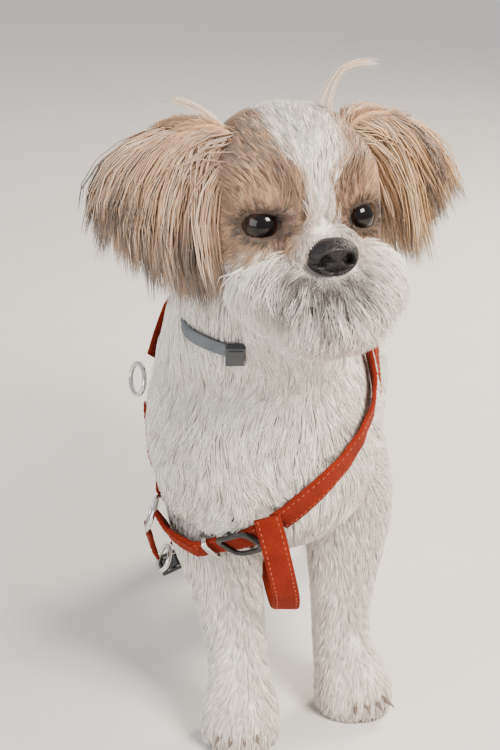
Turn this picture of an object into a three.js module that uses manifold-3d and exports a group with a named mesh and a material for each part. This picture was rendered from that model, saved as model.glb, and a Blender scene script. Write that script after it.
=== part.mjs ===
// A shih tzu in a trimmed coat, standing still at life size, in a webbing harness and a plastic collar.
// Millimetres, +Z up. The dog faces -Y, its own left side is +X, and its soles stand on z = 0.

import * as THREE from "three";
import { mergeVertices } from "three/addons/utils/BufferGeometryUtils.js";
import Module from "manifold-3d";

const wasm = await Module();
wasm.setup();

// Clearance between pieces that touch
const GAP = 0.3;

// How square the rings of the body's forms are: 2 would be ellipses
const SQUARENESS = 2.2;

// How far the tips of the coat stand off the skin, and the share of that which the solid core fills
const COAT = { torso: 9, neck: 8, head: 6, leg: 6, tail: 11 };
const CORE = 0.42;

// The head's place and turn: it looks a little up and towards the dog's left
const SKULL_CENTRE = [-3.5, -117, 315];
const HEAD_YAW = THREE.MathUtils.degToRad(19);
const HEAD_PITCH = THREE.MathUtils.degToRad(8);

// The face, in the head's own frame
const EYE = { x: 25.8, y: -31, z: 2.5, radius: 10.5 };
const NOSE = { wide: 13.3, high: 9.4 };
const BRIDGE = new THREE.Vector3(0, -50, -6);

// The harness is cut from one webbing, and the collar from one strap
const WEBBING = { wide: 15, thick: 2.2 };
const COLLAR = { wide: 9, thick: 2.4 };
const WIRE = 1.4;

const COLOURS = {
  white_coat: [0xe9ddd3, 0.85, 0],
  tan_coat: [0xb98a68, 0.85, 0],
  eye: [0x1c100b, 0.08, 0],
  nose: [0x17161a, 0.45, 0],
  claw: [0x3a302b, 0.4, 0],
  webbing: [0xb5300f, 0.9, 0],
  steel: [0xc9c6c2, 0.2, 1],
  black_plastic: [0x141517, 0.4, 0],
  grey_plastic: [0x6c7075, 0.55, 0],
};

const vec = (x, y, z) => new THREE.Vector3(x, y, z);
const lerp = THREE.MathUtils.lerp;
const SIDES = { left: 1, right: -1 };

// The same run of random numbers on every build
function dice(seed) {
  let state = seed >>> 0;
  return () => {
    state = (state + 0x6d2b79f5) >>> 0;
    let mixed = Math.imul(state ^ (state >>> 15), 1 | state);
    mixed = (mixed + Math.imul(mixed ^ (mixed >>> 7), 61 | mixed)) ^ mixed;
    return ((mixed ^ (mixed >>> 14)) >>> 0) / 4294967296;
  };
}

// A closed surface over rings of points. Each end is closed by its point, or flat where it has none.
function overRings(rings, { start, end, round = false } = {}) {
  const sides = rings[0].length;
  const points = rings.flat();
  const index = [];
  const spans = round ? rings.length : rings.length - 1;
  for (let i = 0; i < spans; i++) {
    const here = i * sides;
    const next = ((i + 1) % rings.length) * sides;
    for (let j = 0; j < sides; j++) {
      const k = (j + 1) % sides;
      index.push(here + j, here + k, next + k, here + j, next + k, next + j);
    }
  }
  const close = (first, tip, flip) => {
    if (tip) points.push(tip);
    for (let j = tip ? 0 : 1; j < (tip ? sides : sides - 1); j++) {
      const apex = tip ? points.length - 1 : first;
      const pair = [first + j, first + ((j + 1) % sides)];
      index.push(apex, ...(flip ? pair.reverse() : pair));
    }
  };
  if (!round) {
    close(0, start, true);
    close((rings.length - 1) * sides, end, false);
  }
  const geometry = new THREE.BufferGeometry().setFromPoints(points);
  geometry.setIndex(index);
  return geometry;
}

// A body form: rings round a smooth spine, each with a half width, and a reach over and under the spine.
// The side of its rings keeps near square to over, or is across where that is given. A cup bends the rings.
class Form {
  constructor(stations, over, { across, cup = 0 } = {}) {
    this.spine = new THREE.CatmullRomCurve3(
      stations.map((s) => vec(...s.at)), false, "catmullrom", 0.5);
    this.girth = new THREE.CatmullRomCurve3(
      stations.map((s) => vec(s.wide, s.over, s.under)), false, "catmullrom", 0.5);
    this.over = over;
    this.across = across;
    this.cup = cup;
    this.bumps = [];
  }

  frame(t) {
    const centre = this.spine.getPoint(t);
    const along = this.spine.getTangent(t);
    if (this.across) {
      const over = along.clone().cross(this.across).normalize();
      return { centre, along, over, side: this.across };
    }
    const over = this.over.clone().addScaledVector(along, -this.over.dot(along)).normalize();
    return { centre, along, over, side: over.clone().cross(along) };
  }

  // The surface point at t along the spine and angle a from the side towards over
  point(t, a, over = 0) {
    const { centre, over: upward, side } = this.frame(t);
    const size = this.girth.getPoint(t);
    const c = Math.cos(a);
    const s = Math.sin(a);
    const reach = (Math.abs(c) ** SQUARENESS + Math.abs(s) ** SQUARENESS) ** (-1 / SQUARENESS);
    const high = (s > 0 ? size.y : size.z) + over;
    const found = centre
      .addScaledVector(side, c * reach * (size.x + over))
      .addScaledVector(upward, s * reach * high - this.cup * c * c);
    for (const { at, wide, push } of this.bumps) {
      const near = Math.exp(-found.distanceToSquared(at) / (wide * wide));
      found.addScaledVector(found.clone().sub(this.spine.getPoint(t)).normalize(), push * near);
    }
    return found;
  }

  normal(t, a) {
    const step = 0.02;
    const low = Math.max(0.01, t - step);
    const high = Math.min(0.99, t + step);
    const along = this.point(high, a).sub(this.point(low, a));
    const round = this.point(t, a + step).sub(this.point(t, a - step));
    const out = along.cross(round).normalize();
    const from = this.point(t, a).sub(this.spine.getPoint(t));
    return out.dot(from) < 0 ? out.negate() : out;
  }

  geometry(rings, sides, over = 0) {
    const made = [];
    for (let i = 0; i <= rings; i++) {
      const ring = [];
      for (let j = 0; j < sides; j++) ring.push(this.point(i / rings, (j / sides) * 2 * Math.PI, over));
      made.push(ring);
    }
    const tip = (t, way) =>
      this.spine.getPoint(t).addScaledVector(this.spine.getTangent(t), way * (1 + over));
    return overRings(made, { start: tip(0, -1), end: tip(1, 1) });
  }
}

// One lock of hair: tapered and bent along its curve, its flat side to the skin and a ridge on the outside.
// A free lock is seen from both sides, so it has a ridge on each.
function lockOn(curve, out, wide, { turns = 3, thickness = 0.24, freely = false } = {}) {
  const rings = [];
  for (let i = 0; i < turns; i++) {
    const u = i / turns;
    const along = curve.getTangent(u);
    const face = out.clone().addScaledVector(along, -out.dot(along)).normalize();
    const edge = face.clone().cross(along);
    const full = wide * (0.5 + 1.35 * u - 1.6 * u * u);
    const deep = Math.max(0.8, full * thickness);
    const at = curve.getPoint(u);
    const set = (x, y) => at.clone().addScaledVector(edge, x).addScaledVector(face, y);
    const side = full / 2;
    rings.push(freely ? [set(side, 0), set(0, deep), set(-side, 0), set(0, -deep)]
      : [set(side, 0), set(0, deep), set(-side, 0)]);
  }
  return overRings(rings, { end: curve.getPoint(1) });
}

// Walks over a form from (t, a) the way the coat lies there, and gives points over the surface and the
// way out at its middle. The root is sunk, and the tip stands at the coat's depth.
function lieOver(form, t, a, { lieOf, long, rise, bend }) {
  const steps = 3;
  const lifts = [-5, rise * 0.75, rise, rise];
  const points = [];
  let out;
  for (let i = 0; i <= steps; i++) {
    const at = form.point(t, a);
    const normal = form.normal(t, a);
    if (i === 1) out = normal;
    points.push(at.clone().addScaledVector(normal, lifts[i]));
    const lie = lieOf(at, normal);
    lie.addScaledVector(normal, -lie.dot(normal)).normalize();
    lie.addScaledVector(lie.clone().cross(normal), bend * i).multiplyScalar(i ? long * 0.42 : long * 0.16);
    const along = form.point(t + 0.01, a).sub(at).multiplyScalar(100);
    const round = form.point(t, a + 0.05).sub(at).multiplyScalar(20);
    t = Math.min(0.985, Math.max(0.015, t + lie.dot(along) / along.lengthSq()));
    a += lie.dot(round) / Math.max(round.lengthSq(), 60);
  }
  return { curve: new THREE.CatmullRomCurve3(points), out, points };
}

// Rows of locks over a form. lieOf gives the way the coat lies at a point.
function coatOver(form, rows, seed) {
  const roll = dice(seed);
  const made = [];
  rows.forEach(({ t, from, to, count, wide, turns: bends = 3, ...lock }, i) => {
    for (let j = 0; j < count; j++) {
      const share = (j + 0.5 + (roll() - 0.5) * 0.3 + (i % 2 ? 0.25 : -0.25)) / count;
      const along = t + (roll() - 0.5) * 0.03;
      const long = lock.long * (0.85 + roll() * 0.3);
      const bend = (roll() - 0.5) * 0.35;
      const { curve, out, points } = lieOver(form, along, lerp(from, to, share), { ...lock, long, bend });
      if (!clipsStrap(wide / 2, ...points, curve.getPoint(0.5)))
        made.push(lockOn(curve, out, wide * (0.9 + roll() * 0.2), { turns: bends }));
    }
  });
  return made;
}

// Moves every vertex so that the faces round it all shift outwards by the gap
function movedOut(vertices, triangles) {
  const pull = Array.from({ length: vertices.length / 3 }, () =>
    ({ sum: vec(0, 0, 0), spread: new Float64Array(9) }));
  const corner = (i) => vec(...vertices.subarray(i * 3, i * 3 + 3));
  for (let i = 0; i < triangles.length; i += 3) {
    const [a, b, c] = triangles.subarray(i, i + 3);
    const normal = corner(b).sub(corner(a)).cross(corner(c).sub(corner(a))).normalize();
    for (const at of [a, b, c]) {
      pull[at].sum.add(normal);
      normal.toArray().forEach((x, row) => normal.toArray().forEach((y, column) => {
        pull[at].spread[row * 3 + column] += x * y;
      }));
    }
  }
  return vertices.map((value, i) => {
    const { sum, spread } = pull[Math.floor(i / 3)];
    const ease = 0.03;
    const even = spread.map((v, k) => v + (k % 4 ? 0 : ease));
    const shift = sum.clone().multiplyScalar(GAP).applyMatrix3(new THREE.Matrix3().set(...even).invert());
    return value + shift.clampLength(0, 3 * GAP).toArray()[i % 3];
  });
}

// Joins and cuts
function solid(geometry, grown) {
  const bare = geometry.clone();
  for (const name of ["normal", "uv"]) bare.deleteAttribute(name);
  const merged = mergeVertices(bare, 1e-4);
  const triVerts = new Uint32Array(merged.index.array);
  const make = (vertProperties) => new wasm.Manifold(new wasm.Mesh({ numProp: 3, vertProperties, triVerts }));
  const vertices = merged.attributes.position.array;
  if (make(vertices).volume() < 0)
    for (let i = 0; i < triVerts.length; i += 3)
      [triVerts[i + 1], triVerts[i + 2]] = [triVerts[i + 2], triVerts[i + 1]];
  return make(grown ? movedOut(vertices, triVerts) : vertices);
}
const joined = (geometries, grown = false) => wasm.Manifold.union(geometries.map((g) => solid(g, grown)));
const largest = (made) => made.decompose().sort((a, b) => b.volume() - a.volume())[0];

// The head's frame: x to the dog's left, -y the way it looks, z to its crown
const HEAD = new THREE.Matrix4().makeRotationZ(HEAD_YAW)
  .multiply(new THREE.Matrix4().makeRotationX(-HEAD_PITCH))
  .setPosition(...SKULL_CENTRE);
const onHead = (geometries) => geometries.map((g) => g.clone().applyMatrix4(HEAD));

const UP = vec(0, 0, 1);
const BACK = vec(0, 1, 0);

const TORSO = new Form([
  { at: [-14, -118, 176], wide: 14, over: 14, under: 16 },
  { at: [-14, -111, 176], wide: 34, over: 32, under: 36 },
  { at: [-14, -94, 176], wide: 52, over: 50, under: 56 },
  { at: [-15, -66, 175], wide: 62, over: 66, under: 66 },
  { at: [-15, -25, 174], wide: 63, over: 77, under: 68 },
  { at: [-12, 30, 174], wide: 60, over: 78, under: 65 },
  { at: [-8, 85, 179], wide: 54, over: 73, under: 58 },
  { at: [-4, 135, 184], wide: 53, over: 67, under: 54 },
  { at: [-1, 170, 184], wide: 48, over: 60, under: 54 },
  { at: [0, 190, 180], wide: 34, over: 44, under: 44 },
  { at: [0, 198, 178], wide: 14, over: 18, under: 18 },
], UP);

const NECK = new Form([
  { at: [-15, -34, 172], wide: 42, over: 40, under: 36 },
  { at: [-18, -48, 202], wide: 55, over: 52, under: 46 },
  { at: [-19, -66, 234], wide: 49, over: 50, under: 42 },
  { at: [-15, -84, 264], wide: 44, over: 44, under: 38 },
  { at: [-9, -99, 292], wide: 38, over: 34, under: 34 },
  { at: [-4, -108, 312], wide: 28, over: 20, under: 22 },
], vec(0, -1, -0.4));

const SKULL = new Form([
  { at: [0, -47, 2], wide: 12, over: 12, under: 14 },
  { at: [0, -43.5, 2], wide: 27, over: 26, under: 28 },
  { at: [0, -35, 2], wide: 37, over: 40, under: 38 },
  { at: [0, -22, 2], wide: 42, over: 50, under: 43 },
  { at: [0, -4, 2], wide: 44, over: 55, under: 45 },
  { at: [0, 16, 2], wide: 43, over: 53, under: 44 },
  { at: [0, 34, 2], wide: 37, over: 44, under: 38 },
  { at: [0, 48, 2], wide: 25, over: 30, under: 26 },
  { at: [0, 54, 2], wide: 10, over: 12, under: 10 },
], UP);
for (const side of Object.values(SIDES)) {
  SKULL.bumps.push({ at: vec(EYE.x * side, -40, EYE.z), wide: 13, push: -7 });
  SKULL.bumps.push({ at: vec(EYE.x * side * 0.9, -38, EYE.z + 20), wide: 12, push: 2.5 });
}

const MUZZLE = new Form([
  { at: [2, -67, -28], wide: 11, over: 9, under: 9 },
  { at: [2, -64, -29], wide: 22, over: 15, under: 18 },
  { at: [2, -56, -31], wide: 31, over: 21, under: 23 },
  { at: [2, -43, -32], wide: 36, over: 22, under: 26 },
  { at: [1, -27, -31], wide: 38, over: 22, under: 26 },
  { at: [0, -10, -28], wide: 34, over: 18, under: 22 },
  { at: [0, -2, -26], wide: 18, over: 9, under: 12 },
], UP);

const STOP = new Form([
  { at: [0, -61, -13], wide: 15, over: 7, under: 9 },
  { at: [0, -53, -10], wide: 17, over: 8, under: 10 },
  { at: [0, -40, -3], wide: 15, over: 8, under: 10 },
  { at: [0, -28, 0], wide: 10, over: 6, under: 8 },
], UP);

const PAD = new Form([
  { at: [0, -70.6, -13.5], wide: 7, over: 5, under: 5.5 },
  { at: [0, -69, -13], wide: 11, over: 7.6, under: 8.4 },
  { at: [0, -64.5, -12.4], wide: NOSE.wide, over: NOSE.high, under: NOSE.high },
  { at: [0, -58.5, -12], wide: NOSE.wide - 1, over: NOSE.high - 0.8, under: NOSE.high - 1 },
  { at: [0, -54, -11.8], wide: 8, over: 6, under: 6 },
], UP);

// A leg's stations run from inside the body to under the floor, where it is cut flat for the sole
const LEGS = {
  front_right: new Form([
    { at: [-42, -50, 172], wide: 17, over: 20, under: 20 },
    { at: [-44, -54, 145], wide: 27, over: 30, under: 30 },
    { at: [-43, -60, 116], wide: 25, over: 27, under: 25 },
    { at: [-37, -72, 82], wide: 18, over: 19, under: 18 },
    { at: [-31, -86, 50], wide: 15, over: 15, under: 15 },
    { at: [-29, -96, 30], wide: 16, over: 15, under: 18 },
    { at: [-29, -101, 15], wide: 20, over: 17, under: 25 },
    { at: [-29, -102, 3], wide: 20, over: 17, under: 25 },
    { at: [-29, -102, -6], wide: 15, over: 12, under: 18 },
  ], BACK),
  front_left: new Form([
    { at: [26, -42, 172], wide: 17, over: 20, under: 20 },
    { at: [30, -44, 145], wide: 25, over: 29, under: 29 },
    { at: [33, -47, 114], wide: 23, over: 25, under: 23 },
    { at: [31, -52, 80], wide: 17, over: 18, under: 17 },
    { at: [30, -57, 48], wide: 14, over: 14, under: 14 },
    { at: [33, -61, 29], wide: 16, over: 15, under: 17 },
    { at: [37, -65, 15], wide: 20, over: 17, under: 23 },
    { at: [38, -66, 3], wide: 20, over: 17, under: 23 },
    { at: [38, -66, -6], wide: 15, over: 12, under: 17 },
  ], BACK),
  hind_right: hindLeg(-1),
  hind_left: hindLeg(1),
};
const TOES_TURNED = { front_right: -0.05, front_left: 0.42, hind_right: -0.12, hind_left: 0.12 };

function hindLeg(side) {
  return new Form([
    { at: [28 * side, 150, 196], wide: 16, over: 22, under: 24 },
    { at: [34 * side, 144, 168], wide: 26, over: 36, under: 40 },
    { at: [39 * side, 138, 136], wide: 26, over: 34, under: 36 },
    { at: [42 * side, 138, 106], wide: 21, over: 25, under: 26 },
    { at: [42 * side, 152, 78], wide: 16, over: 18, under: 17 },
    { at: [42 * side, 162, 52], wide: 14, over: 14, under: 14 },
    { at: [43 * side, 157, 30], wide: 16, over: 14, under: 17 },
    { at: [44 * side, 150, 15], wide: 20, over: 17, under: 24 },
    { at: [44 * side, 149, 3], wide: 20, over: 17, under: 24 },
    { at: [44 * side, 149, -6], wide: 15, over: 12, under: 18 },
  ], BACK);
}

const TAIL = new Form([
  { at: [0, 172, 226], wide: 8, over: 8, under: 8 },
  { at: [0, 190, 246], wide: 12, over: 11, under: 11 },
  { at: [2, 196, 268], wide: 13, over: 12, under: 12 },
  { at: [8, 180, 284], wide: 14, over: 12, under: 12 },
  { at: [16, 150, 286], wide: 14, over: 11, under: 11 },
  { at: [22, 120, 278], wide: 11, over: 9, under: 9 },
  { at: [25, 100, 271], wide: 5, over: 4, under: 4 },
], vec(0, 0.6, 1));

// One side's ear leather hangs from the crown's corner, cupped towards the head
function earLeather(side) {
  return new Form([
    { at: [28 * side, 2, 36], wide: 12, over: 4, under: 4 },
    { at: [42 * side, 2, 47], wide: 15, over: 3.4, under: 3 },
    { at: [58 * side, 5, 45], wide: 20, over: 2.8, under: 2.4 },
    { at: [71 * side, 9, 30], wide: 23, over: 2.4, under: 2 },
    { at: [79 * side, 13, 9], wide: 19, over: 2.2, under: 1.8 },
    { at: [83 * side, 15, -10], wide: 8, over: 1.6, under: 1.4 },
  ], UP, { across: vec(0, -side, 0), cup: 5 });
}

// Straps are draped over this bare body
const coreGeometries = () => [
  TORSO.geometry(18, 18, COAT.torso * CORE), NECK.geometry(8, 18, COAT.neck * CORE),
  ...Object.values(LEGS).map((leg) => leg.geometry(12, 10, COAT.leg * CORE)),
];
const bothSides = new THREE.MeshBasicMaterial({ side: THREE.DoubleSide });
const bareBody = new THREE.Mesh(backToGeometry(joined(coreGeometries())), bothSides);

function backToGeometry(made) {
  const mesh = made.getMesh();
  const geometry = new THREE.BufferGeometry();
  geometry.setAttribute("position", new THREE.BufferAttribute(mesh.vertProperties, 3));
  geometry.setIndex(new THREE.BufferAttribute(mesh.triVerts, 1));
  return geometry;
}

// The body's middle line, which straps wrap round
const MIDDLE = new THREE.CatmullRomCurve3([vec(-12, -84, 262), vec(-13, -52, 205), vec(-13, -30, 172),
  vec(-11, 20, 172), vec(-6, 90, 178)]);
const middlePoints = MIDDLE.getPoints(60);
const middleNear = (p) => middlePoints.reduce((best, q) =>
  (q.distanceToSquared(p) < best.distanceToSquared(p) ? q : best));

// Sets a point on the coat's core, lift above it, and gives the way out there
function draped(p, lift) {
  const inner = middleNear(p);
  const out = p.clone().sub(inner).normalize();
  const eye = inner.clone().addScaledVector(out, 260);
  const hit = new THREE.Raycaster(eye, out.clone().negate()).intersectObject(bareBody)[0];
  return { at: hit.point.addScaledVector(out, lift), out };
}

// A strap's line: hand-placed points joined by a smooth curve, each on the coat or hanging where it says
function strapLine(points, steps) {
  const placed = points.map(({ at, lift, out }) =>
    (out ? { at: vec(...at), out: vec(...out).normalize() } : draped(vec(...at), lift ?? 1)));
  const path = new THREE.CatmullRomCurve3(placed.map((p) => p.at), false, "catmullrom", 0.5);
  const outs = new THREE.CatmullRomCurve3(placed.map((p) => p.out), false, "catmullrom", 0.5);
  const line = [];
  for (let i = 0; i <= steps; i++) {
    const u = i / steps;
    const rough = path.getPoint(u);
    const out = outs.getPoint(u).normalize();
    const span = Math.min(points.length - 2, Math.floor(u * (points.length - 1)));
    const free = points[span].out || points[span + 1].out;
    const share = u * (points.length - 1) - span;
    const lift = lerp(points[span].lift ?? 1, points[span + 1].lift ?? 1, share);
    line.push(free ? { at: rough, out } : { at: draped(rough, lift).at, out });
  }
  return evened(line);
}

// Smooths small steps where a strap runs from one part of the body to the next
function evened(line) {
  return line.map(({ at, out }, i) => {
    const before = line[Math.max(0, i - 1)].at;
    const after = line[Math.min(line.length - 1, i + 1)].at;
    const middle = before.clone().add(after).multiplyScalar(0.5);
    const lifted = Math.max(0, middle.sub(at).dot(out));
    return { at: at.clone().addScaledVector(out, lifted * 0.6), out };
  });
}

function ribbon(line, { wide, thick }, round = false) {
  const rings = line.map(({ at, out }, i) => {
    const count = line.length;
    const before = line[round ? (i + count - 1) % count : Math.max(0, i - 1)].at;
    const after = line[round ? (i + 1) % count : Math.min(count - 1, i + 1)].at;
    const along = after.clone().sub(before).normalize();
    const face = out.clone().addScaledVector(along, -out.dot(along)).normalize();
    const edge = face.clone().cross(along);
    const corner = (x, y) => at.clone().addScaledVector(edge, x).addScaledVector(face, y);
    const half = wide / 2;
    return [corner(-half, 0), corner(half, 0), corner(half, thick), corner(-half, thick)];
  });
  return overRings(rings, { round });
}

// A loop of round wire
function wireLoop(points, radius, sides, steps) {
  const curve = new THREE.CatmullRomCurve3(points, true, "catmullrom", 0.5);
  const [first, second, third] = points;
  const normal = second.clone().sub(first).cross(third.clone().sub(first)).normalize();
  const rings = [];
  for (let i = 0; i < steps; i++) {
    const centre = curve.getPoint(i / steps);
    const inward = normal.clone().cross(curve.getTangent(i / steps)).normalize();
    const ring = [];
    for (let j = 0; j < sides; j++) {
      const a = (j / sides) * 2 * Math.PI;
      ring.push(centre.clone().addScaledVector(inward, Math.cos(a) * radius)
        .addScaledVector(normal, Math.sin(a) * radius));
    }
    rings.push(ring);
  }
  return overRings(rings, { round: true });
}

// Where the harness pieces sit. The chest strap meets the side ring, and the belly strap hangs slack.
const SIDE_RING = vec(-80, -62, 122);
const BACK_RING = vec(-89, -22, 190);
const LOW_RING = vec(-74, -50, 88);
const onBody = (...at) => ({ at });
const free = (at, out) => ({ at, out });
const LINES = {
  harness_neck_strap: strapLine([
    onBody(-8, -114, 141), onBody(9.5, -115, 159), onBody(25, -110, 175), onBody(36, -98, 189),
    onBody(45, -76, 202), onBody(45, -50, 220), onBody(30, -22, 243), onBody(-2, -6, 256),
    onBody(-36, -8, 246), onBody(-62, -14, 222), onBody(-76, -20, 202),
  ], 28),
  harness_shoulder_strap: strapLine([
    onBody(-78, -26, 176), onBody(-79, -38, 156), onBody(-79, -50, 138), onBody(-78, -58, 129),
  ], 9),
  harness_chest_strap: strapLine([
    onBody(-16, -110, 133), onBody(-29, -100, 124), onBody(-44, -88, 117), onBody(-58, -84, 116),
    onBody(-70, -76, 118), { at: [-77, -66, 120], lift: 2 },
  ], 16),
  harness_chest_overlap: strapLine([
    { at: [-46, -88, 118], lift: 4.6 }, { at: [-58, -84, 118], lift: 4.6 },
    { at: [-70, -76, 120], lift: 4.8 }, { at: [-77, -66, 121], lift: 5.6 },
  ], 9),
  harness_belly_strap: strapLine([
    free([-14, -119, 145], [-0.05, -1, -0.1]), free([-10, -121, 130], [0, -1, 0]),
    free([-6, -118, 110], [0.1, -1, 0.1]), free([-3, -109, 92], [0.1, -1, -0.2]),
    free([-3, -96, 80], [0, -0.6, -0.8]), free([-5, -78, 75], [0, -0.1, -1]),
    free([-9, -52, 80], [0, 0.3, -1]), free([-12, -22, 89], [0, 0.3, -1]),
  ], 26),
  harness_side_strap: strapLine([
    free([-81, -62, 113], [-1, -0.3, 0]), free([-80, -59, 103], [-1, -0.3, 0]),
    free([-77, -55, 96], [-1, -0.3, 0]),
  ], 5),
  harness_girth_strap: strapLine([
    free([-66, -34, 86], [-0.8, -0.1, -0.6]), onBody(-48, -16, 106), onBody(-14, -10, 102),
    onBody(22, -10, 108), onBody(48, -6, 140), onBody(52, 2, 190), onBody(34, 10, 232), onBody(-4, 12, 250),
    onBody(-40, 8, 238), onBody(-66, -2, 214),
  ], 30),
};
const strapPoints = Object.values(LINES).flat().map((p) => p.at);

// True where a lock of this half width through these points would cross a strap
function clipsStrap(half, ...points) {
  const room = WEBBING.wide / 2 + half * 0.45;
  return points.some((p) => strapPoints.some((s) => s.distanceTo(p) < room));
}

// A turned copy of geometries made round the origin, in the body's own frame
function placed(geometries, at, turn) {
  const matrix = new THREE.Matrix4().makeRotationFromEuler(new THREE.Euler(...turn)).setPosition(at);
  return geometries.map((g) => g.clone().applyMatrix4(matrix));
}

function plate(wide, high, thick, corner) {
  const x = wide / 2;
  const y = high / 2;
  const r = corner;
  const outline = new THREE.Shape().moveTo(x - r, -y).lineTo(x, r - y).lineTo(x, y - r).lineTo(x - r, y)
    .lineTo(r - x, y).lineTo(-x, y - r).lineTo(-x, r - y).lineTo(r - x, -y);
  const made = new THREE.ExtrudeGeometry(outline, { depth: thick, bevelEnabled: false });
  return made.translate(0, 0, -thick / 2);
}

const ringLoop = (wide, high) => {
  const turn = (i) => (i / 12) * 2 * Math.PI;
  const points = Array.from({ length: 12 }, (_, i) =>
    vec(Math.cos(turn(i)) * wide / 2, Math.sin(turn(i)) * high / 2, 0));
  return wireLoop(points, WIRE, 6, 14);
};

const HARDWARE = {
  side_ring: { at: SIDE_RING, turn: [0, -1.25, 0], shape: ringLoop(20, 20) },
  back_ring: { at: BACK_RING, turn: [0.35, -1.3, 0], shape: ringLoop(17, 24) },
  low_ring: { at: LOW_RING, turn: [0.3, -1.15, 0], shape: ringLoop(15, 15) },
  chest_keeper: {
    at: vec(-45.5, -95.5, 117), turn: [1.35, 0.55, 0.1],
    shape: ringLoop(10, 21),
  },
  chest_slider: {
    at: vec(-31, -108, 126), turn: [1.35, 0.5, 0.2],
    shape: plate(24, 17, 3, 4),
  },
  side_buckle: {
    at: vec(-70, -40, 81), turn: [1.4, -0.6, -0.6],
    shape: plate(18, 12, 4, 3),
  },
};

// The collar lies round the top of the neck, most of it deep in the coat
const COLLAR_LINE = Array.from({ length: 24 }, (_, i) => {
  const a = (i / 24) * 2 * Math.PI;
  const t = 0.5 + 0.1 * Math.sin(a);
  const { centre, along } = NECK.frame(t);
  const at = NECK.point(t, a, COAT.neck * CORE - 0.6);
  const out = at.clone().sub(centre);
  return { at, out: out.addScaledVector(along, -out.dot(along)).normalize() };
});

const coreDepth = (part) => COAT[part] * CORE;
const turns = (share) => share * 2 * Math.PI;
const lieBack = (root, out) => vec(0, 1, -0.2 - 0.7 * Math.abs(out.x));
const lieDown = () => vec(0, 0, -1);
const fromBridge = (root) => root.clone().sub(BRIDGE).normalize().add(vec(0, 0, -0.2));

function torso() {
  const rows = [0.36, 0.52, 0.68, 0.84].map((t) => ({ t, from: turns(-0.12), to: turns(0.62), count: 5,
    long: 78, wide: 48, rise: COAT.torso - 2, lieOf: lieBack }));
  const chest = [0.1, 0.24].map((t, i) => ({ t, from: turns(-0.14), to: turns(0.64), count: 3 + 2 * i,
    long: 52, wide: 34, rise: COAT.torso - 2, lieOf: (root, out) => vec(out.x * 0.6, 0, -1) }));
  return [TORSO.geometry(15, 14, coreDepth("torso")), ...coatOver(TORSO, [...chest, ...rows], 11)];
}

function neck() {
  const rows = [0.34, 0.62].map((t) => ({ t, from: 0, to: turns(1), count: 6, long: 56, wide: 38, turns: 2,
    rise: COAT.neck - 2, lieOf: lieDown }));
  return [NECK.geometry(7, 14, coreDepth("neck")), ...coatOver(NECK, rows, 23)];
}

function headCoat() {
  const row = (t, from, to, count, long, wide = 19) => ({ t, from: turns(from), to: turns(to), count,
    long, wide, rise: COAT.head - 1, lieOf: fromBridge });
  const crown = [row(0.27, 0.15, 0.35, 3, 26), row(0.42, 0.1, 0.4, 4, 34, 24),
    row(0.62, 0.06, 0.44, 5, 44, 30)];
  const cheeks = [row(0.3, -0.24, -0.02, 2, 32), row(0.3, 0.52, 0.74, 2, 32), row(0.48, -0.24, 0.02, 2, 34),
    row(0.48, 0.48, 0.74, 2, 34)];
  const puff = [row(0.16, -0.54, 0.04, 6, 26, 19), row(0.42, -0.55, 0.05, 7, 34, 24)];
  return [...coatOver(SKULL, [...crown, ...cheeks], 37), ...coatOver(MUZZLE, puff, 41)];
}

// Long strands blown up from the crown
function wisps() {
  const strand = (...points) => new THREE.CatmullRomCurve3(points.map((p) => vec(...p)));
  const style = { turns: 4, freely: true };
  return [
    lockOn(strand([18, -8, 46], [24, -4, 64], [36, 0, 76], [55, 4, 76]), vec(-0.3, -0.9, 0.3), 8, style),
    lockOn(strand([-34, -4, 40], [-40, -2, 54], [-50, 0, 62], [-62, 2, 66]), vec(0.3, -0.9, 0.3), 7, style),
  ];
}

function lids(side) {
  const ring = new THREE.TorusGeometry(9.6, 2.2, 5, 14);
  ring.scale(1.05, 0.8, 1);
  ring.rotateX(Math.PI / 2);
  ring.rotateZ(side * 0.42);
  return ring.translate((EYE.x + 1.8) * side, EYE.y - 4.8, EYE.z);
}

function head() {
  return onHead([
    SKULL.geometry(12, 16), MUZZLE.geometry(8, 12), STOP.geometry(4, 8),
    ...Object.values(SIDES).map((side) => lids(side)), ...headCoat(), ...wisps(),
  ]);
}

// Long hair hangs from the whole of the leather: straight down by the head, and outwards near its tip
function ear(side) {
  const form = earLeather(side);
  const roll = dice(side > 0 ? 53 : 59);
  const count = 8;
  const locks = Array.from({ length: count }, (_, i) => {
    const share = i / (count - 1);
    const layer = i % 2 ? -1 : 1;
    const root = form.spine.getPoint(lerp(0.2, 0.8, share)).add(vec(0, layer * 4, 0));
    const long = lerp(94, 44, share) * (0.94 + roll() * 0.12);
    const away = side * lerp(-0.03, 0.34, share);
    const sway = side * lerp(-2, 10, share) + (roll() - 0.5) * 8;
    const step = (far, aside) =>
      root.clone().add(vec(away * long * far + aside, layer * far * 5, -long * far));
    const points = [root, step(0.3, sway * 0.7), step(0.65, sway), step(1, -sway * 0.2)];
    const curve = new THREE.CatmullRomCurve3(points);
    return lockOn(curve, vec(side * 0.2, -1, 0), 24, { freely: true });
  });
  return onHead([form.geometry(7, 8), ...locks]);
}

function leg(name) {
  const rows = [[0.42, 44], [0.66, 38]].map(([t, long], i) => ({ t, from: i * 0.5, to: turns(1) + i * 0.5,
    count: 4, long, wide: 32, turns: 2, rise: COAT.leg - 1, lieOf: lieDown }));
  return [LEGS[name].geometry(10, 9, coreDepth("leg")), ...coatOver(LEGS[name], rows, 61)];
}

function tail() {
  const plume = (root, out) => vec(out.x * 0.9, -0.6, -0.5);
  const rows = [0.4, 0.74].map((t) => ({ t, from: 0, to: turns(1), count: 4, long: 62,
    wide: 26, rise: COAT.tail - 2, lieOf: plume }));
  return [TAIL.geometry(10, 8, coreDepth("tail")), ...coatOver(TAIL, rows, 71)];
}

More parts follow.
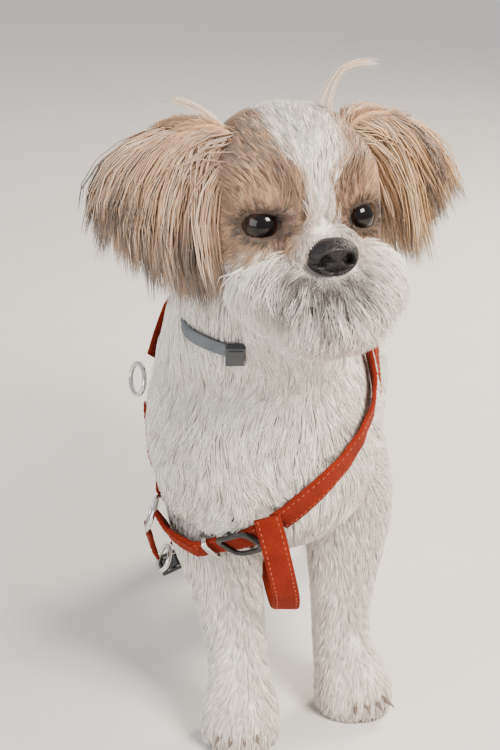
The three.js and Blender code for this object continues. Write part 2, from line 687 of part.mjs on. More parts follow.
function nose() {
  return onHead([PAD.geometry(6, 14)]);
}

// The groove under the nose and the line of the mouth on both sides of it
function mouthLine() {
  const lip = (side) => [[0, -66, -36], [9, -64, -41], [19, -55, -47], [26, -43, -50]].map(([x, y, z]) =>
    [2 + side * x, y, z]);
  const groove = (points) => {
    const path = new THREE.CatmullRomCurve3(points.map((p) => vec(...p)));
    return overRings(path.getPoints(5).map((p) => ringAt(0, 1.5, 0).map((c) =>
      p.clone().add(vec(c.y * 0.4, c.x * 2.2, c.z)))));
  };
  return onHead([groove(lip(1)), groove(lip(-1)), new THREE.BoxGeometry(1.4, 6, 16).translate(2, -66, -28)]);
}

// Nostrils and the slots that run out from them
function nostrils() {
  return onHead(Object.values(SIDES).map((side) => {
    const bore = new THREE.SphereGeometry(2.6, 8, 6);
    bore.scale(1, 1.6, 0.9);
    return bore.translate(side * 5.6, -69, -14);
  }));
}

function eye(side) {
  const ball = new THREE.SphereGeometry(EYE.radius, 14, 9);
  ball.rotateX(Math.PI / 2);
  ball.translate(EYE.x * side, EYE.y, EYE.z);
  return onHead([ball]);
}

// Four claws on each foot, just above the floor at the front of the toes
function claw(name, number) {
  const across = (number - 1.5) / 1.5;
  const spread = new THREE.Matrix4().makeRotationZ(TOES_TURNED[name] + across * 0.42)
    .setPosition(LEGS[name].point(0.875, 0).setZ(6).lerp(LEGS[name].point(0.875, Math.PI).setZ(6), 0.5));
  const reach = name.startsWith("hind") ? 24 : 24.5;
  const cone = overRings([ringAt(-reach + 7, 2.1, 6), ringAt(-reach - 1, 1.7, 5.6)],
    { end: vec(0, -reach - 7.5, 2.6) });
  return [cone.applyMatrix4(spread)];
}

function ringAt(y, radius, z) {
  return Array.from({ length: 6 }, (_, i) =>
    vec(Math.cos((i / 6) * 2 * Math.PI) * radius, y, z + Math.sin((i / 6) * 2 * Math.PI) * radius));
}

const model = new THREE.Group();
const shapes = new Map();

// Adds a node. It is cut clear of the named nodes before it, which have already claimed their room.
function node(name, colour, build, { clearOf = [], shape = (s) => s, bores } = {}) {
  let body = shape(joined(build()));
  const cuts = clearOf.map((other) => shapes.get(other)());
  if (bores) cuts.push(joined(bores()));
  if (cuts.length) body = body.subtract(wasm.Manifold.union(cuts));
  let grown;
  shapes.set(name, () => (grown ??= shape(joined(build(), true))));
  const [hex, roughness, metalness] = COLOURS[colour];
  const material = new THREE.MeshStandardMaterial({ color: hex, roughness, metalness });
  const mesh = new THREE.Mesh(backToGeometry(largest(body.simplify(0.005))), material);
  mesh.name = name;
  model.add(mesh);
}

const onFloor = (s) => s.trimByPlane([0, 0, 1], 0);
const worn = [];
function wear(name, colour, build) {
  node(name, colour, build, { clearOf: [...worn] });
  worn.push(name);
}

for (const [name, { at, turn, shape }] of Object.entries(HARDWARE)) {
  const steel = name.endsWith("ring") || name.endsWith("keeper");
  wear(`harness_${name}`, steel ? "steel" : "black_plastic", () => placed([shape], at, turn));
}
for (const [name, line] of Object.entries(LINES))
  wear(name, "webbing", () => [ribbon(line, WEBBING)]);
wear("collar_buckle", "grey_plastic", () =>
  placed([plate(12, 12, 5, 2)], vec(-31, -124, 241), [1.1, 0.3, -0.5]));
wear("collar", "grey_plastic", () => [ribbon(COLLAR_LINE, COLLAR, true)]);

const claws = {};
for (const name of Object.keys(LEGS)) {
  claws[name] = [0, 1, 2, 3].map((number) => {
    node(`claw_${name}_${number + 1}`, "claw", () => claw(name, number));
    return `claw_${name}_${number + 1}`;
  });
}
for (const [name, side] of Object.entries(SIDES)) node(`eye_${name}`, "eye", () => eye(side));
node("nose", "nose", nose, { bores: nostrils });
const face = ["eye_left", "eye_right", "nose", "collar", "collar_buckle"];
node("head", "tan_coat", head, { clearOf: face, bores: mouthLine });
for (const [name, side] of Object.entries(SIDES))
  node(`ear_${name}`, "tan_coat", () => ear(side), { clearOf: ["head", "collar"] });
node("torso", "white_coat", torso, { clearOf: worn });
node("neck", "white_coat", neck, { clearOf: ["head", "torso", "ear_left", "ear_right", ...worn] });
for (const name of Object.keys(LEGS))
  node(`leg_${name}`, "white_coat", () => leg(name), {
    clearOf: ["torso", "neck", ...claws[name], ...worn], shape: onFloor });
node("tail", "tan_coat", tail, { clearOf: ["torso"] });

// The origin is on the floor, under the middle of the whole
const box = new THREE.Box3().setFromObject(model);
const middle = box.getCenter(vec(0, 0, 0));
model.position.set(-middle.x, -middle.y, 0);

export default model;
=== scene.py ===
"""The looks of a standing shih tzu in a webbing harness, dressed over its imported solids.

Sizes are in millimetres in the dog's own frame, with the floor at z = 0, the dog facing -Y and its
left side at +X. They become metres in the row frame only when a mesh is made.
"""

import logging
import math
from dataclasses import dataclass, field
from enum import Enum
from typing import Callable, Iterable, Optional, Sequence

import bpy
import numpy as np
from mathutils import Euler, Matrix, Vector
from mathutils.bvhtree import BVHTree
from mathutils.kdtree import KDTree


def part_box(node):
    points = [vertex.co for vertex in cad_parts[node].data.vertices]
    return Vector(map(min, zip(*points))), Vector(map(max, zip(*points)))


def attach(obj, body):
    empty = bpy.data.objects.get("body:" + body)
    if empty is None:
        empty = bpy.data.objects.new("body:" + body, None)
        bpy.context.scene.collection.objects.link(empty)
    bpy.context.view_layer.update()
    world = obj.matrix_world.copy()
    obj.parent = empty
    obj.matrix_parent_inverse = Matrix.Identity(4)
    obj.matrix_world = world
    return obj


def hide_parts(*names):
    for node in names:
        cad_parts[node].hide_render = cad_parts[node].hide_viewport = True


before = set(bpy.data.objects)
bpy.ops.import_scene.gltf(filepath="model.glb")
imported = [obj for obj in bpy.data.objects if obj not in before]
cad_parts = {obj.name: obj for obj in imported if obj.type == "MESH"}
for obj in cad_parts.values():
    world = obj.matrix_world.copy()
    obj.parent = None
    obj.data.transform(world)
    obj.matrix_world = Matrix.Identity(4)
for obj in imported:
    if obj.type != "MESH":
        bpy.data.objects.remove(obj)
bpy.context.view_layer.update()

log = logging.getLogger("shih_tzu")

Array = np.ndarray
Colour = tuple[float, float, float]
Triple = tuple[float, float, float]
Piece = bpy.types.Object
Material = bpy.types.Material
Socket = bpy.types.NodeSocket

MILLIMETRE = 0.001
SIDES = {"left": 1, "right": -1}
UP = (0.0, 0.0, 1.0)
BACK = (0.0, 1.0, 0.0)

# The collar's box in the dog's frame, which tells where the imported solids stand
COLLAR_BOX_AT = (-31.0, -124.0, 241.0)

# The head's place and turn
SKULL_AT = (-3.5, -117.0, 315.0)
HEAD_YAW = math.radians(19)
HEAD_PITCH = math.radians(8)

# The face, in the head's own frame
EYE_AT = (25.4, -31.2, 2.5)
EYE_RADIUS = 10.35

# The open eye: its middle on x, where hairs stop round it, and where they are pushed off it
OPEN_X = EYE_AT[0] + 1.0
EYE_BARE = 7.2
EYE_CLEAR = 8.4

# Where the lie of the face's hair starts
BRIDGE = (0.0, -50.0, -6.0)

# How much of the coat's depth the solids fill: straps and collar lie on that
CORE_SHARE = 0.42
TORSO_CORE = 9 * CORE_SHARE
NECK_CORE = 8 * CORE_SHARE
LEG_CORE = 6 * CORE_SHARE


class Slot(Enum):
    """The record's material slots."""

    WHITE = "white_coat"
    TAN = "tan_coat"
    EYE = "eye"
    NOSE = "nose_leather"
    CLAW = "claw"
    WEBBING = "webbing"
    STEEL = "bright_steel"
    BLACK = "black_plastic"
    COLLAR = "collar_plastic"


class Part(Enum):
    """The regions of the skin, each with its own coat."""

    TORSO = "torso"
    NECK = "neck"
    SKULL = "skull"
    MUZZLE = "muzzle"
    STOP = "stop"
    FRONT_RIGHT = "leg_front_right"
    FRONT_LEFT = "leg_front_left"
    HIND_RIGHT = "leg_hind_right"
    HIND_LEFT = "leg_hind_left"
    TAIL = "tail"
    EAR_RIGHT = "ear_right"
    EAR_LEFT = "ear_left"


def unit(v: Array) -> Array:
    """The vectors at length one."""
    return v / np.maximum(np.linalg.norm(v, axis=-1, keepdims=True), 1e-9)


def smooth(low: float, high: float, x: Array) -> Array:
    """A soft step from 0 at low to 1 at high."""
    s = np.clip((x - low) / (high - low), 0, 1)
    return s * s * (3 - 2 * s)


def mixed(a: Array, b: Array, share: Array) -> Array:
    """Colours a and b blended by a share for each row."""
    return a + (b - a) * share[..., None]


def along_curve(points: Array, t: Array) -> Array:
    """Points at shares t of a smooth curve through the given points.

    Args:
        points: the rows that the curve runs through.
        t: shares of the way, 0 to 1.

    Returns:
        One row for each t.
    """
    ends = np.vstack([2 * points[0] - points[1], points, 2 * points[-1] - points[-2]])
    spans = len(points) - 1
    s = np.asarray(t, float) * spans
    i = np.clip(s.astype(int), 0, spans - 1)
    u = (s - i)[:, None]
    a, b, c, d = ends[i], ends[i + 1], ends[i + 2], ends[i + 3]
    return 0.5 * (2 * b + (c - a) * u + (2 * a - 5 * b + 4 * c - d) * u**2 + (3 * b - a - 3 * c + d) * u**3)


class Frames:
    """Turns between the dog's frame, the head's own frame and the row frame."""

    def __init__(self) -> None:
        """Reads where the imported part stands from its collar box."""
        low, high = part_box("collar_buckle")
        self.shift = np.array((low + high) / 2) / MILLIMETRE - np.array(COLLAR_BOX_AT)
        self.head = np.array(Matrix.Rotation(HEAD_YAW, 3, "Z") @ Matrix.Rotation(-HEAD_PITCH, 3, "X"))

    def from_head(self, points: Array) -> Array:
        """Points of the head's frame in the dog's frame."""
        return np.asarray(points, float) @ self.head.T + np.array(SKULL_AT)

    def to_head(self, points: Array) -> Array:
        """Points of the dog's frame in the head's frame."""
        return (np.asarray(points, float) - np.array(SKULL_AT)) @ self.head

    def to_row(self, points: Array) -> Array:
        """Points of the dog's frame in the row frame, in metres."""
        return (np.asarray(points, float) + self.shift) * MILLIMETRE


FRAMES = Frames()


def tube_faces(rings: int, sides: int, closed: bool = False) -> Array:
    """The quads between rings of vertices.

    Args:
        rings: how many rings there are.
        sides: how many vertices each ring has.
        closed: joins the last ring to the first.

    Returns:
        Four vertex numbers for each face.
    """
    i, j = np.meshgrid(np.arange(rings if closed else rings - 1), np.arange(sides), indexing="ij")
    low, up, k = i * sides, (i + 1) % rings * sides, (j + 1) % sides
    return np.stack([low + j, low + k, up + k, up + j], -1).reshape(-1, 4)


def hoop_faces(rings: int, sides: int) -> Array:
    """The quads of a hoop, turned to face out of a section that runs the other way."""
    return tube_faces(rings, sides, closed=True)[:, [0, 3, 2, 1]]


def hoop_angles(rings: int, sides: int) -> tuple[Array, Array]:
    """The angles of a hoop's vertices.

    Args:
        rings: how many rings go round.
        sides: how many vertices each ring has.

    Returns:
        Each vertex's angle round the hoop, and round its section.
    """
    whole, section = np.arange(rings) / rings * 2 * np.pi, np.arange(sides) / sides * 2 * np.pi
    a, b = np.meshgrid(whole, section, indexing="ij")
    return a.ravel(), b.ravel()


def halved(quads: Array) -> Array:
    """Each quad as two triangles."""
    return np.vstack([quads[:, [0, 1, 2]], quads[:, [0, 2, 3]]])


def squared(a: Array, power: float) -> Array:
    """The reach at each angle of a circle pushed out towards a square."""
    return (np.abs(np.cos(a)) ** power + np.abs(np.sin(a)) ** power) ** (-1 / power)


def ball(turns: int, rings: int) -> tuple[Array, Array]:
    """A ball of radius one with its poles on y.

    Args:
        turns: how many vertices go round it.
        rings: how many bands it has from pole to pole.

    Returns:
        Vertices and triangles.
    """
    points = [(0.0, -1.0, 0.0)]
    for r in range(1, rings):
        p = math.pi * r / rings
        for i in range(turns):
            a = 2 * math.pi * i / turns
            points.append((math.sin(p) * math.cos(a), -math.cos(p), math.sin(p) * math.sin(a)))
    points.append((0.0, 1.0, 0.0))
    faces = []
    last = len(points) - 1
    for i in range(turns):
        k = (i + 1) % turns
        faces.append((0, 1 + i, 1 + k))
        faces.append((last, last - turns + k, last - turns + i))
        for r in range(rings - 2):
            low, up = 1 + r * turns, 1 + (r + 1) * turns
            faces += [(low + i, up + i, up + k), (low + i, up + k, low + k)]
    return np.array(points), np.array(faces)


def rounded_box(wide: float, high: float, thick: float, radius: float) -> tuple[Array, Array]:
    """A box with rounded edges, made from a ball pushed apart at its middle planes.

    Args:
        wide: its size on x.
        high: its size on y.
        thick: its size on z.
        radius: how round its edges are.

    Returns:
        Vertices and triangles.
    """
    shape, faces = ball(24, 12)
    reach = np.array([wide / 2 - radius, high / 2 - radius, thick / 2 - radius])
    sign = np.where(np.abs(shape) < 1e-6, 1.0, np.sign(shape))
    near = np.abs(shape) ** 0.25
    return shape * radius + sign * np.minimum(near * 1.6, 1.0) * reach, faces


def numbers(parts: Iterable[Part]) -> list[int]:
    """The places of parts in the list of parts."""
    order = list(Part)
    return [order.index(part) for part in parts]


def read_rows(items: bpy.types.bpy_prop_collection, key: str, kind: type) -> Array:
    """Reads three values of each item of a mesh.

    Args:
        items: the mesh's vertices or triangles.
        key: the values' name.
        kind: their number type.

    Returns:
        One row for each item.
    """
    values = np.empty(len(items) * 3, kind)
    items.foreach_get(key, values)
    return values.reshape(-1, 3)


def joined(parts: Sequence[tuple[Array, Array]]) -> tuple[Array, Array]:
    """Several meshes as one.

    Args:
        parts: vertices and faces of each, all faces with as many corners.

    Returns:
        Vertices and faces.
    """
    points, faces, start = [], [], 0
    for p, f in parts:
        points.append(p)
        faces.append(np.asarray(f) + start)
        start += len(p)
    return np.vstack(points), np.vstack(faces)


def search_tree(places: Array) -> KDTree:
    """A search tree over points, by their row numbers.

    Args:
        places: the points.

    Returns:
        The tree, ready for use.
    """
    tree = KDTree(len(places))
    for i, place in enumerate(places):
        tree.insert(place, i)
    tree.balance()
    return tree


def turned(points: Array, at: Triple, turn: Triple) -> Array:
    """Points turned about the origin and moved to a place."""
    return np.asarray(points, float) @ np.array(Euler(turn, "XYZ").to_matrix().transposed()) + np.array(at)


def mesh_object(name: str, points: Array, faces: Array, flat: bool = False) -> Piece:
    """A new mesh object in the row frame.

    Args:
        name: the object's name.
        points: vertices in the dog's frame, in millimetres.
        faces: rows of three or four vertex numbers.
        flat: leaves the faces unsmoothed.

    Returns:
        The object, linked to the scene.
    """
    faces = np.asarray(faces, np.int32)
    corners = faces.shape[1]
    mesh = bpy.data.meshes.new(name)
    mesh.vertices.add(len(points))
    mesh.vertices.foreach_set("co", FRAMES.to_row(points).astype(np.float32).ravel())
    mesh.loops.add(faces.size)
    mesh.loops.foreach_set("vertex_index", faces.ravel())
    mesh.polygons.add(len(faces))
    mesh.polygons.foreach_set("loop_start", np.arange(0, faces.size, corners, dtype=np.int32))
    mesh.polygons.foreach_set("use_smooth", np.full(len(faces), not flat))
    mesh.update(calc_edges=True)
    made = bpy.data.objects.new(name, mesh)
    bpy.context.scene.collection.objects.link(made)
    return made


def paint(made: Piece, colours: Array) -> None:
    """Stores the markings, with any light and shade painted into them, as a colour for each vertex.

    Args:
        made: the piece.
        colours: linear colours, one row for each vertex.
    """
    layer = made.data.color_attributes.new("Markings", "FLOAT_COLOR", "POINT")
    full = np.ones((len(colours), 4), np.float32)
    full[:, :3] = colours
    layer.data.foreach_set("color", full.ravel())


def finish(made: Piece, material: Material, slot: Slot, *stands_for: str) -> None:
    """Dresses a piece, hides the solids that it replaces and hangs it under the root.

    Args:
        made: the piece.
        material: its finish.
        slot: not used.
        stands_for: the solids that it replaces.
    """
    made.data.materials.append(material)
    if stands_for:
        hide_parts(*stands_for)
    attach(made, "root")
    log.info("%s: %d faces", made.name, len(made.data.polygons))


@dataclass
class Loft:
    """A smooth body form: rings round a bent spine.

    Each station is x, y, z of the spine, then the half width and the reach over and under it.
    """

    stations: Sequence[tuple[float, ...]]
    reference: Triple
    across: Optional[Triple] = None
    cup: float = 0.0
    bumps: Sequence[tuple[Triple, float, float]] = ()
    squareness: float = 2.2

    def frame(self, t: Array) -> tuple[Array, Array, Array, Array]:
        """The vectors that a ring is built on.

        Args:
            t: shares along the spine.

        Returns:
            The spine's points, and its run, over and side vectors there.
        """
        spine = np.array(self.stations, float)[:, :3]
        at = along_curve(spine, t)
        step = 1e-3
        run = unit(along_curve(spine, np.minimum(t + step, 1)) - along_curve(spine, np.maximum(t - step, 0)))
        if self.across:
            side = np.tile(np.array(self.across), (len(t), 1))
            return at, run, unit(np.cross(run, side)), side
        reference = np.array(self.reference, float)
        over = unit(reference - run * (run @ reference)[:, None])
        return at, run, over, np.cross(over, run)

    def point(self, t: Array, a: Array, depth: float = 0.0) -> Array:
        """Surface points.

        Args:
            t: shares along the spine.
            a: angles from the side towards over.
            depth: how far outside the form's own surface.

        Returns:
            One row for each pair of t and a.
        """
        at, _, over, side = self.frame(t)
        size = along_curve(np.array(self.stations, float)[:, 3:], t)
        c, s = np.cos(a), np.sin(a)
        reach = squared(a, self.squareness)
        high = np.where(s > 0, size[:, 1], size[:, 2]) + depth
        found = at + side * (c * reach * (size[:, 0] + depth))[:, None]
        found = found + over * (s * reach * high - self.cup * c * c)[:, None]
        for centre, wide, push in self.bumps:
            near = np.exp(-((found - np.array(centre)) ** 2).sum(1) / wide**2)
            found = found + unit(found - at) * (push * near)[:, None]
        return found

    def surface(self, rings: int, sides: int, depth: float = 0.0) -> tuple[Array, Array]:
        """The form's closed surface.

        Args:
            rings: how many rings it has.
            sides: how many vertices each ring has.
            depth: how far outside the form's own surface it lies.

        Returns:
            Vertices and triangles.
        """
        t, a = np.meshgrid(np.linspace(0, 1, rings), np.arange(sides) / sides * 2 * np.pi, indexing="ij")
        grid = self.point(t.ravel(), a.ravel(), depth)
        at, run, _, _ = self.frame(np.array([0.0, 1.0]))
        points = np.vstack([grid, at[0] - run[0] * (1 + depth), at[1] + run[1] * (1 + depth)])
        j = np.arange(sides)
        k = (j + 1) % sides
        last = (rings - 1) * sides
        first_cap = np.stack([k, j, np.full(sides, rings * sides)], -1)
        last_cap = np.stack([last + j, last + k, np.full(sides, rings * sides + 1)], -1)
        return points, np.vstack([halved(tube_faces(rings, sides)), first_cap, last_cap])


def hind_leg(s: int) -> Loft:
    """A hind leg from inside the rump to under the floor.

    Args:
        s: 1 for the left leg and -1 for the right.

    Returns:
        Its form.
    """
    return Loft([
        (28 * s, 150, 196, 16, 22, 24), (34 * s, 144, 168, 26, 36, 40), (39 * s, 138, 136, 26, 34, 36),
        (42 * s, 138, 106, 21, 25, 26), (42 * s, 152, 78, 16, 18, 17), (42 * s, 162, 52, 14, 14, 14),
        (43 * s, 157, 30, 16, 14, 17), (44 * s, 150, 15, 20, 17, 24), (44 * s, 149, 3, 20, 17, 24),
        (44 * s, 149, -6, 15, 12, 18),
    ], BACK)


def ear_leather(s: int) -> Loft:
    """An ear's leather, in the head's frame, hanging from the crown's corner.

    Args:
        s: 1 for the left ear and -1 for the right.

    Returns:
        Its form.
    """
    return Loft([
        (28 * s, 2, 36, 12, 4, 4), (42 * s, 2, 47, 15, 3.4, 3), (58 * s, 5, 45, 20, 2.8, 2.4),
        (71 * s, 9, 30, 23, 2.4, 2), (79 * s, 13, 9, 19, 2.2, 1.8), (83 * s, 15, -10, 8, 1.6, 1.4),
    ], UP, across=(0.0, float(-s), 0.0), cup=5.0)


BODY_FORMS = {
    Part.TORSO: Loft([
        (-14, -118, 176, 14, 14, 16), (-14, -111, 176, 34, 32, 36), (-14, -94, 176, 52, 50, 56),
        (-15, -66, 175, 62, 66, 66), (-15, -25, 174, 63, 77, 68), (-12, 30, 174, 60, 78, 65),
        (-8, 85, 179, 54, 73, 58), (-4, 135, 184, 53, 67, 54), (-1, 170, 184, 48, 60, 54),
        (0, 190, 180, 34, 44, 44), (0, 198, 178, 14, 18, 18),
    ], UP),
    Part.NECK: Loft([
        (-15, -34, 172, 42, 40, 36), (-18, -48, 202, 55, 52, 46), (-19, -66, 234, 49, 50, 42),
        (-15, -84, 264, 44, 44, 38), (-9, -99, 292, 38, 34, 34), (-4, -108, 312, 28, 20, 22),
    ], (0.0, -1.0, -0.4)),
    Part.FRONT_RIGHT: Loft([
        (-42, -50, 172, 17, 20, 20), (-44, -54, 145, 27, 30, 30), (-43, -60, 116, 25, 27, 25),
        (-37, -72, 82, 18, 19, 18), (-31, -86, 50, 15, 15, 15), (-29, -96, 30, 16, 15, 18),
        (-29, -101, 15, 20, 17, 25), (-29, -102, 3, 20, 17, 25), (-29, -102, -6, 15, 12, 18),
    ], BACK),
    Part.FRONT_LEFT: Loft([
        (26, -42, 172, 17, 20, 20), (30, -44, 145, 25, 29, 29), (33, -47, 114, 23, 25, 23),
        (31, -52, 80, 17, 18, 17), (30, -57, 48, 14, 14, 14), (33, -61, 29, 16, 15, 17),
        (37, -65, 15, 20, 17, 23), (38, -66, 3, 20, 17, 23), (38, -66, -6, 15, 12, 17),
    ], BACK),
    Part.HIND_RIGHT: hind_leg(-1),
    Part.HIND_LEFT: hind_leg(1),
    Part.TAIL: Loft([
        (0, 172, 226, 8, 8, 8), (0, 190, 246, 12, 11, 11), (2, 196, 268, 13, 12, 12),
        (8, 180, 284, 14, 12, 12), (16, 150, 286, 14, 11, 11), (22, 120, 278, 11, 9, 9),
        (25, 100, 271, 5, 4, 4),
    ], (0.0, 0.6, 1.0)),
}

# Hollows for the eyes and low brows over them: the middle, how wide and how far out
SOCKETS = [((25.8 * s, -40.0, 2.5), 13.0, -7.0) for s in (1, -1)]
BROWS = [((23.2 * s, -38.0, 22.5), 12.0, 2.5) for s in (1, -1)]

HEAD_FORMS = {
    Part.SKULL: Loft([
        (0, -47, 2, 12, 12, 14), (0, -43.5, 2, 27, 26, 28), (0, -35, 2, 37, 40, 38),
        (0, -22, 2, 42, 50, 43), (0, -4, 2, 44, 55, 45), (0, 16, 2, 43, 53, 44), (0, 34, 2, 37, 44, 38),
        (0, 48, 2, 25, 30, 26), (0, 54, 2, 10, 12, 10),
    ], UP, bumps=[*SOCKETS, *BROWS]),
    Part.MUZZLE: Loft([
        (2, -67, -28, 11, 9, 9), (2, -64, -29, 22, 15, 18), (2, -56, -31, 31, 21, 23),
        (2, -43, -32, 36, 22, 26), (1, -27, -31, 38, 22, 26), (0, -10, -28, 34, 18, 22),
        (0, -2, -26, 18, 9, 12),
    ], UP),
    Part.STOP: Loft([
        (0, -61, -13, 15, 7, 9), (0, -53, -10, 17, 8, 10), (0, -40, -3, 15, 8, 10), (0, -28, 0, 10, 6, 8),
    ], UP),
    Part.EAR_RIGHT: ear_leather(-1),
    Part.EAR_LEFT: ear_leather(1),
}

# The parts of the head with the short hair of the face
FACE = (Part.SKULL, Part.MUZZLE, Part.STOP)

# Which way the toes of each foot point, from straight ahead
TOES_TURNED = {Part.FRONT_RIGHT: -0.05, Part.FRONT_LEFT: 0.42, Part.HIND_RIGHT: -0.12, Part.HIND_LEFT: 0.12}


def toes(leg: Loft, turn: float) -> list[tuple[Array, Array]]:
    """The four rounded toes of a foot.

    Args:
        leg: the leg's form, whose seventh eighth is the foot.
        turn: which way they point.

    Returns:
        Vertices and triangles of each.
    """
    size, spread, height = np.array([6.6, 9.5, 8.0]), 0.42, 8.6
    middle = leg.point(np.array([0.875, 0.875]), np.array([0.0, math.pi])).mean(0)
    shape, faces = ball(20, 12)
    made = []
    for n in range(4):
        across = (n - 1.5) / 1.5
        way = turn + across * spread
        reach = 16.5 - 2.5 * abs(across)
        at = np.array([middle[0] + math.sin(way) * reach, middle[1] - math.cos(way) * reach, height])
        made.append((shape * size + at, faces))
    return made


class Nodes:
    """A small helper that lays out a material's shader nodes."""

    def __init__(self, name: str) -> None:
        """Starts a material with one main shader."""
        self.material = bpy.data.materials.new(name)
        self.material.use_nodes = True
        self.tree = self.material.node_tree
        self.shader = self.tree.nodes["Principled BSDF"]

    def add(self, kind: str, **settings: object) -> bpy.types.Node:
        """Adds a node.

        Args:
            kind: the node's type.
            settings: its options by name.

        Returns:
            The node.
        """
        node = self.tree.nodes.new(kind)
        for key, value in settings.items():
            setattr(node, key, value)
        return node

    def link(self, source: Socket, target: Socket) -> None:
        """Links two sockets."""
        self.tree.links.new(source, target)

    def set(self, **values: object) -> None:
        """Sets the shader's own sockets. An underscore in a name stands for a space."""
        for key, value in values.items():
            self.shader.inputs[key.replace("_", " ")].default_value = value

    def noise(self, scale: float, detail: float, coords: Optional[Socket] = None) -> Socket:
        """A noise pattern.

        Args:
            scale: how fine it is.
            detail: how many finer layers it has.
            coords: what it lies on, or else the object's own coordinates.

        Returns:
            Its value, from 0 to 1.
        """
        node = self.add("ShaderNodeTexNoise")
        node.inputs["Scale"].default_value = scale
        node.inputs["Detail"].default_value = detail
        if coords is None:
            coords = self.add("ShaderNodeTexCoord").outputs["Object"]
        self.link(coords, node.inputs["Vector"])
        return node.outputs["Fac"]

    def waves(self, coords: Socket, way: str, scale: float, distortion: float,
              detail: float = 1.0) -> Socket:
        """Wavy bands across a map.

        Args:
            coords: the map.
            way: the axis that the bands follow each other on.
            scale: how narrow they are.
            distortion: how uneven they are.
            detail: how fine the unevenness is.

        Returns:
            Their value, from 0 to 1.
        """
        node = self.add("ShaderNodeTexWave", wave_type="BANDS", bands_direction=way)
        node.inputs["Scale"].default_value = scale
        node.inputs["Distortion"].default_value = distortion
        node.inputs["Detail Scale"].default_value = detail
        self.link(coords, node.inputs["Vector"])
        return node.outputs["Fac"]

    def ramp(self, source: Socket, stops: Sequence[tuple[float, Colour]]) -> Socket:
        """Colours over a value.

        Args:
            source: the value.
            stops: places from 0 to 1 and their colours.

        Returns:
            The colour.
        """
        node = self.add("ShaderNodeValToRGB")
        while len(node.color_ramp.elements) < len(stops):
            node.color_ramp.elements.new(0.5)
        for element, (place, colour) in zip(node.color_ramp.elements, stops):
            element.position = place
            element.color = (*colour, 1)
        self.link(source, node.inputs["Fac"])
        return node.outputs["Color"]

    def multiplied(self, a: Socket, b: Socket) -> Socket:
        """The product of two colours.

        Args:
            a: one of them.
            b: the other.

        Returns:
            The colour.
        """
        node = self.add("ShaderNodeMix", data_type="RGBA", blend_type="MULTIPLY")
        node.inputs["Factor"].default_value = 1.0
        self.link(a, node.inputs["A"])
        self.link(b, node.inputs["B"])
        return node.outputs["Result"]

    def colour(self, source: Socket) -> None:
        """Gives the shader its colour."""
        self.link(source, self.shader.inputs["Base Color"])

    def bump(self, height: Socket, strength: float, distance: float) -> None:
        """Roughens the shader's surface.

        Args:
            height: the pattern of heights.
            strength: how much of it is used.
            distance: how deep it is, in metres.
        """
        node = self.add("ShaderNodeBump")
        node.inputs["Strength"].default_value = strength
        node.inputs["Distance"].default_value = distance
        self.link(height, node.inputs["Height"])
        self.link(node.outputs["Normal"], self.shader.inputs["Normal"])

    def rough(self, source: Socket, low: float, high: float) -> None:
        """Varies the shader's roughness.

        Args:
            source: the pattern it follows.
            low: the roughness where the pattern is 0.
            high: the roughness where it is 1.
        """
        node = self.add("ShaderNodeMapRange")
        node.inputs["To Min"].default_value = low
        node.inputs["To Max"].default_value = high
        self.link(source, node.inputs["Value"])
        self.link(node.outputs["Result"], self.shader.inputs["Roughness"])


@dataclass(frozen=True)
class HairFinish:
    """Hair that takes its markings, with the light and shade painted into them, from a colour attribute."""

    name: str
    gloss: float = 0.5
    sheen: float = 0.25

    def material(self) -> Material:
        """Builds the material.

        Returns:
            The material.
        """
        nodes = Nodes(self.name)
        markings = nodes.add("ShaderNodeVertexColor", layer_name="Markings").outputs["Color"]
        streak = nodes.noise(260.0, 3.0)
        shade = nodes.ramp(streak, [(0.25, (0.93, 0.92, 0.90)), (0.75, (1.0, 1.0, 1.0))])
        nodes.colour(nodes.multiplied(markings, shade))
        nodes.rough(streak, self.gloss - 0.08, self.gloss + 0.12)
        nodes.set(Specular_IOR_Level=0.35, Sheen_Weight=self.sheen, Sheen_Roughness=0.4)
        nodes.bump(streak, 0.25, 0.0003)
        return nodes.material


@dataclass(frozen=True)
class WebbingFinish:
    """Woven felt-faced webbing with cross ribs."""

    name: str = "webbing"
    deep: Colour = (0.070, 0.0050, 0.0020)
    bright: Colour = (0.215, 0.0145, 0.0035)

    def material(self) -> Material:
        """Builds the material on the strap's own map: u across, v along.

        Returns:
            The material.
        """
        nodes = Nodes(self.name)
        coords = nodes.add("ShaderNodeUVMap", uv_map="Weave").outputs["UV"]
        ribs = nodes.waves(coords, "Y", 2.6, 1.4, 3.0)
        yarns = nodes.waves(coords, "X", 3.4, 1.0)
        fuzz = nodes.noise(900.0, 4.0)
        height = nodes.add("ShaderNodeMath", operation="MULTIPLY_ADD")
        for source, target in zip((ribs, yarns, fuzz), height.inputs):
            nodes.link(source, target)
        patch = nodes.noise(60.0, 3.0)
        tone = nodes.add("ShaderNodeMath", operation="MULTIPLY_ADD")
        tone.inputs[1].default_value = 0.45
        nodes.link(height.outputs["Value"], tone.inputs[0])
        nodes.link(patch, tone.inputs[2])
        nodes.colour(nodes.ramp(tone.outputs["Value"], [(0.35, self.deep), (1.05, self.bright)]))
        nodes.rough(fuzz, 0.82, 1.0)
        nodes.set(Sheen_Weight=0.05, Sheen_Roughness=0.5, Sheen_Tint=(1.0, 0.40, 0.22, 1.0),
                  Specular_IOR_Level=0.15)
        nodes.bump(height.outputs["Value"], 0.7, 0.0005)
        return nodes.material


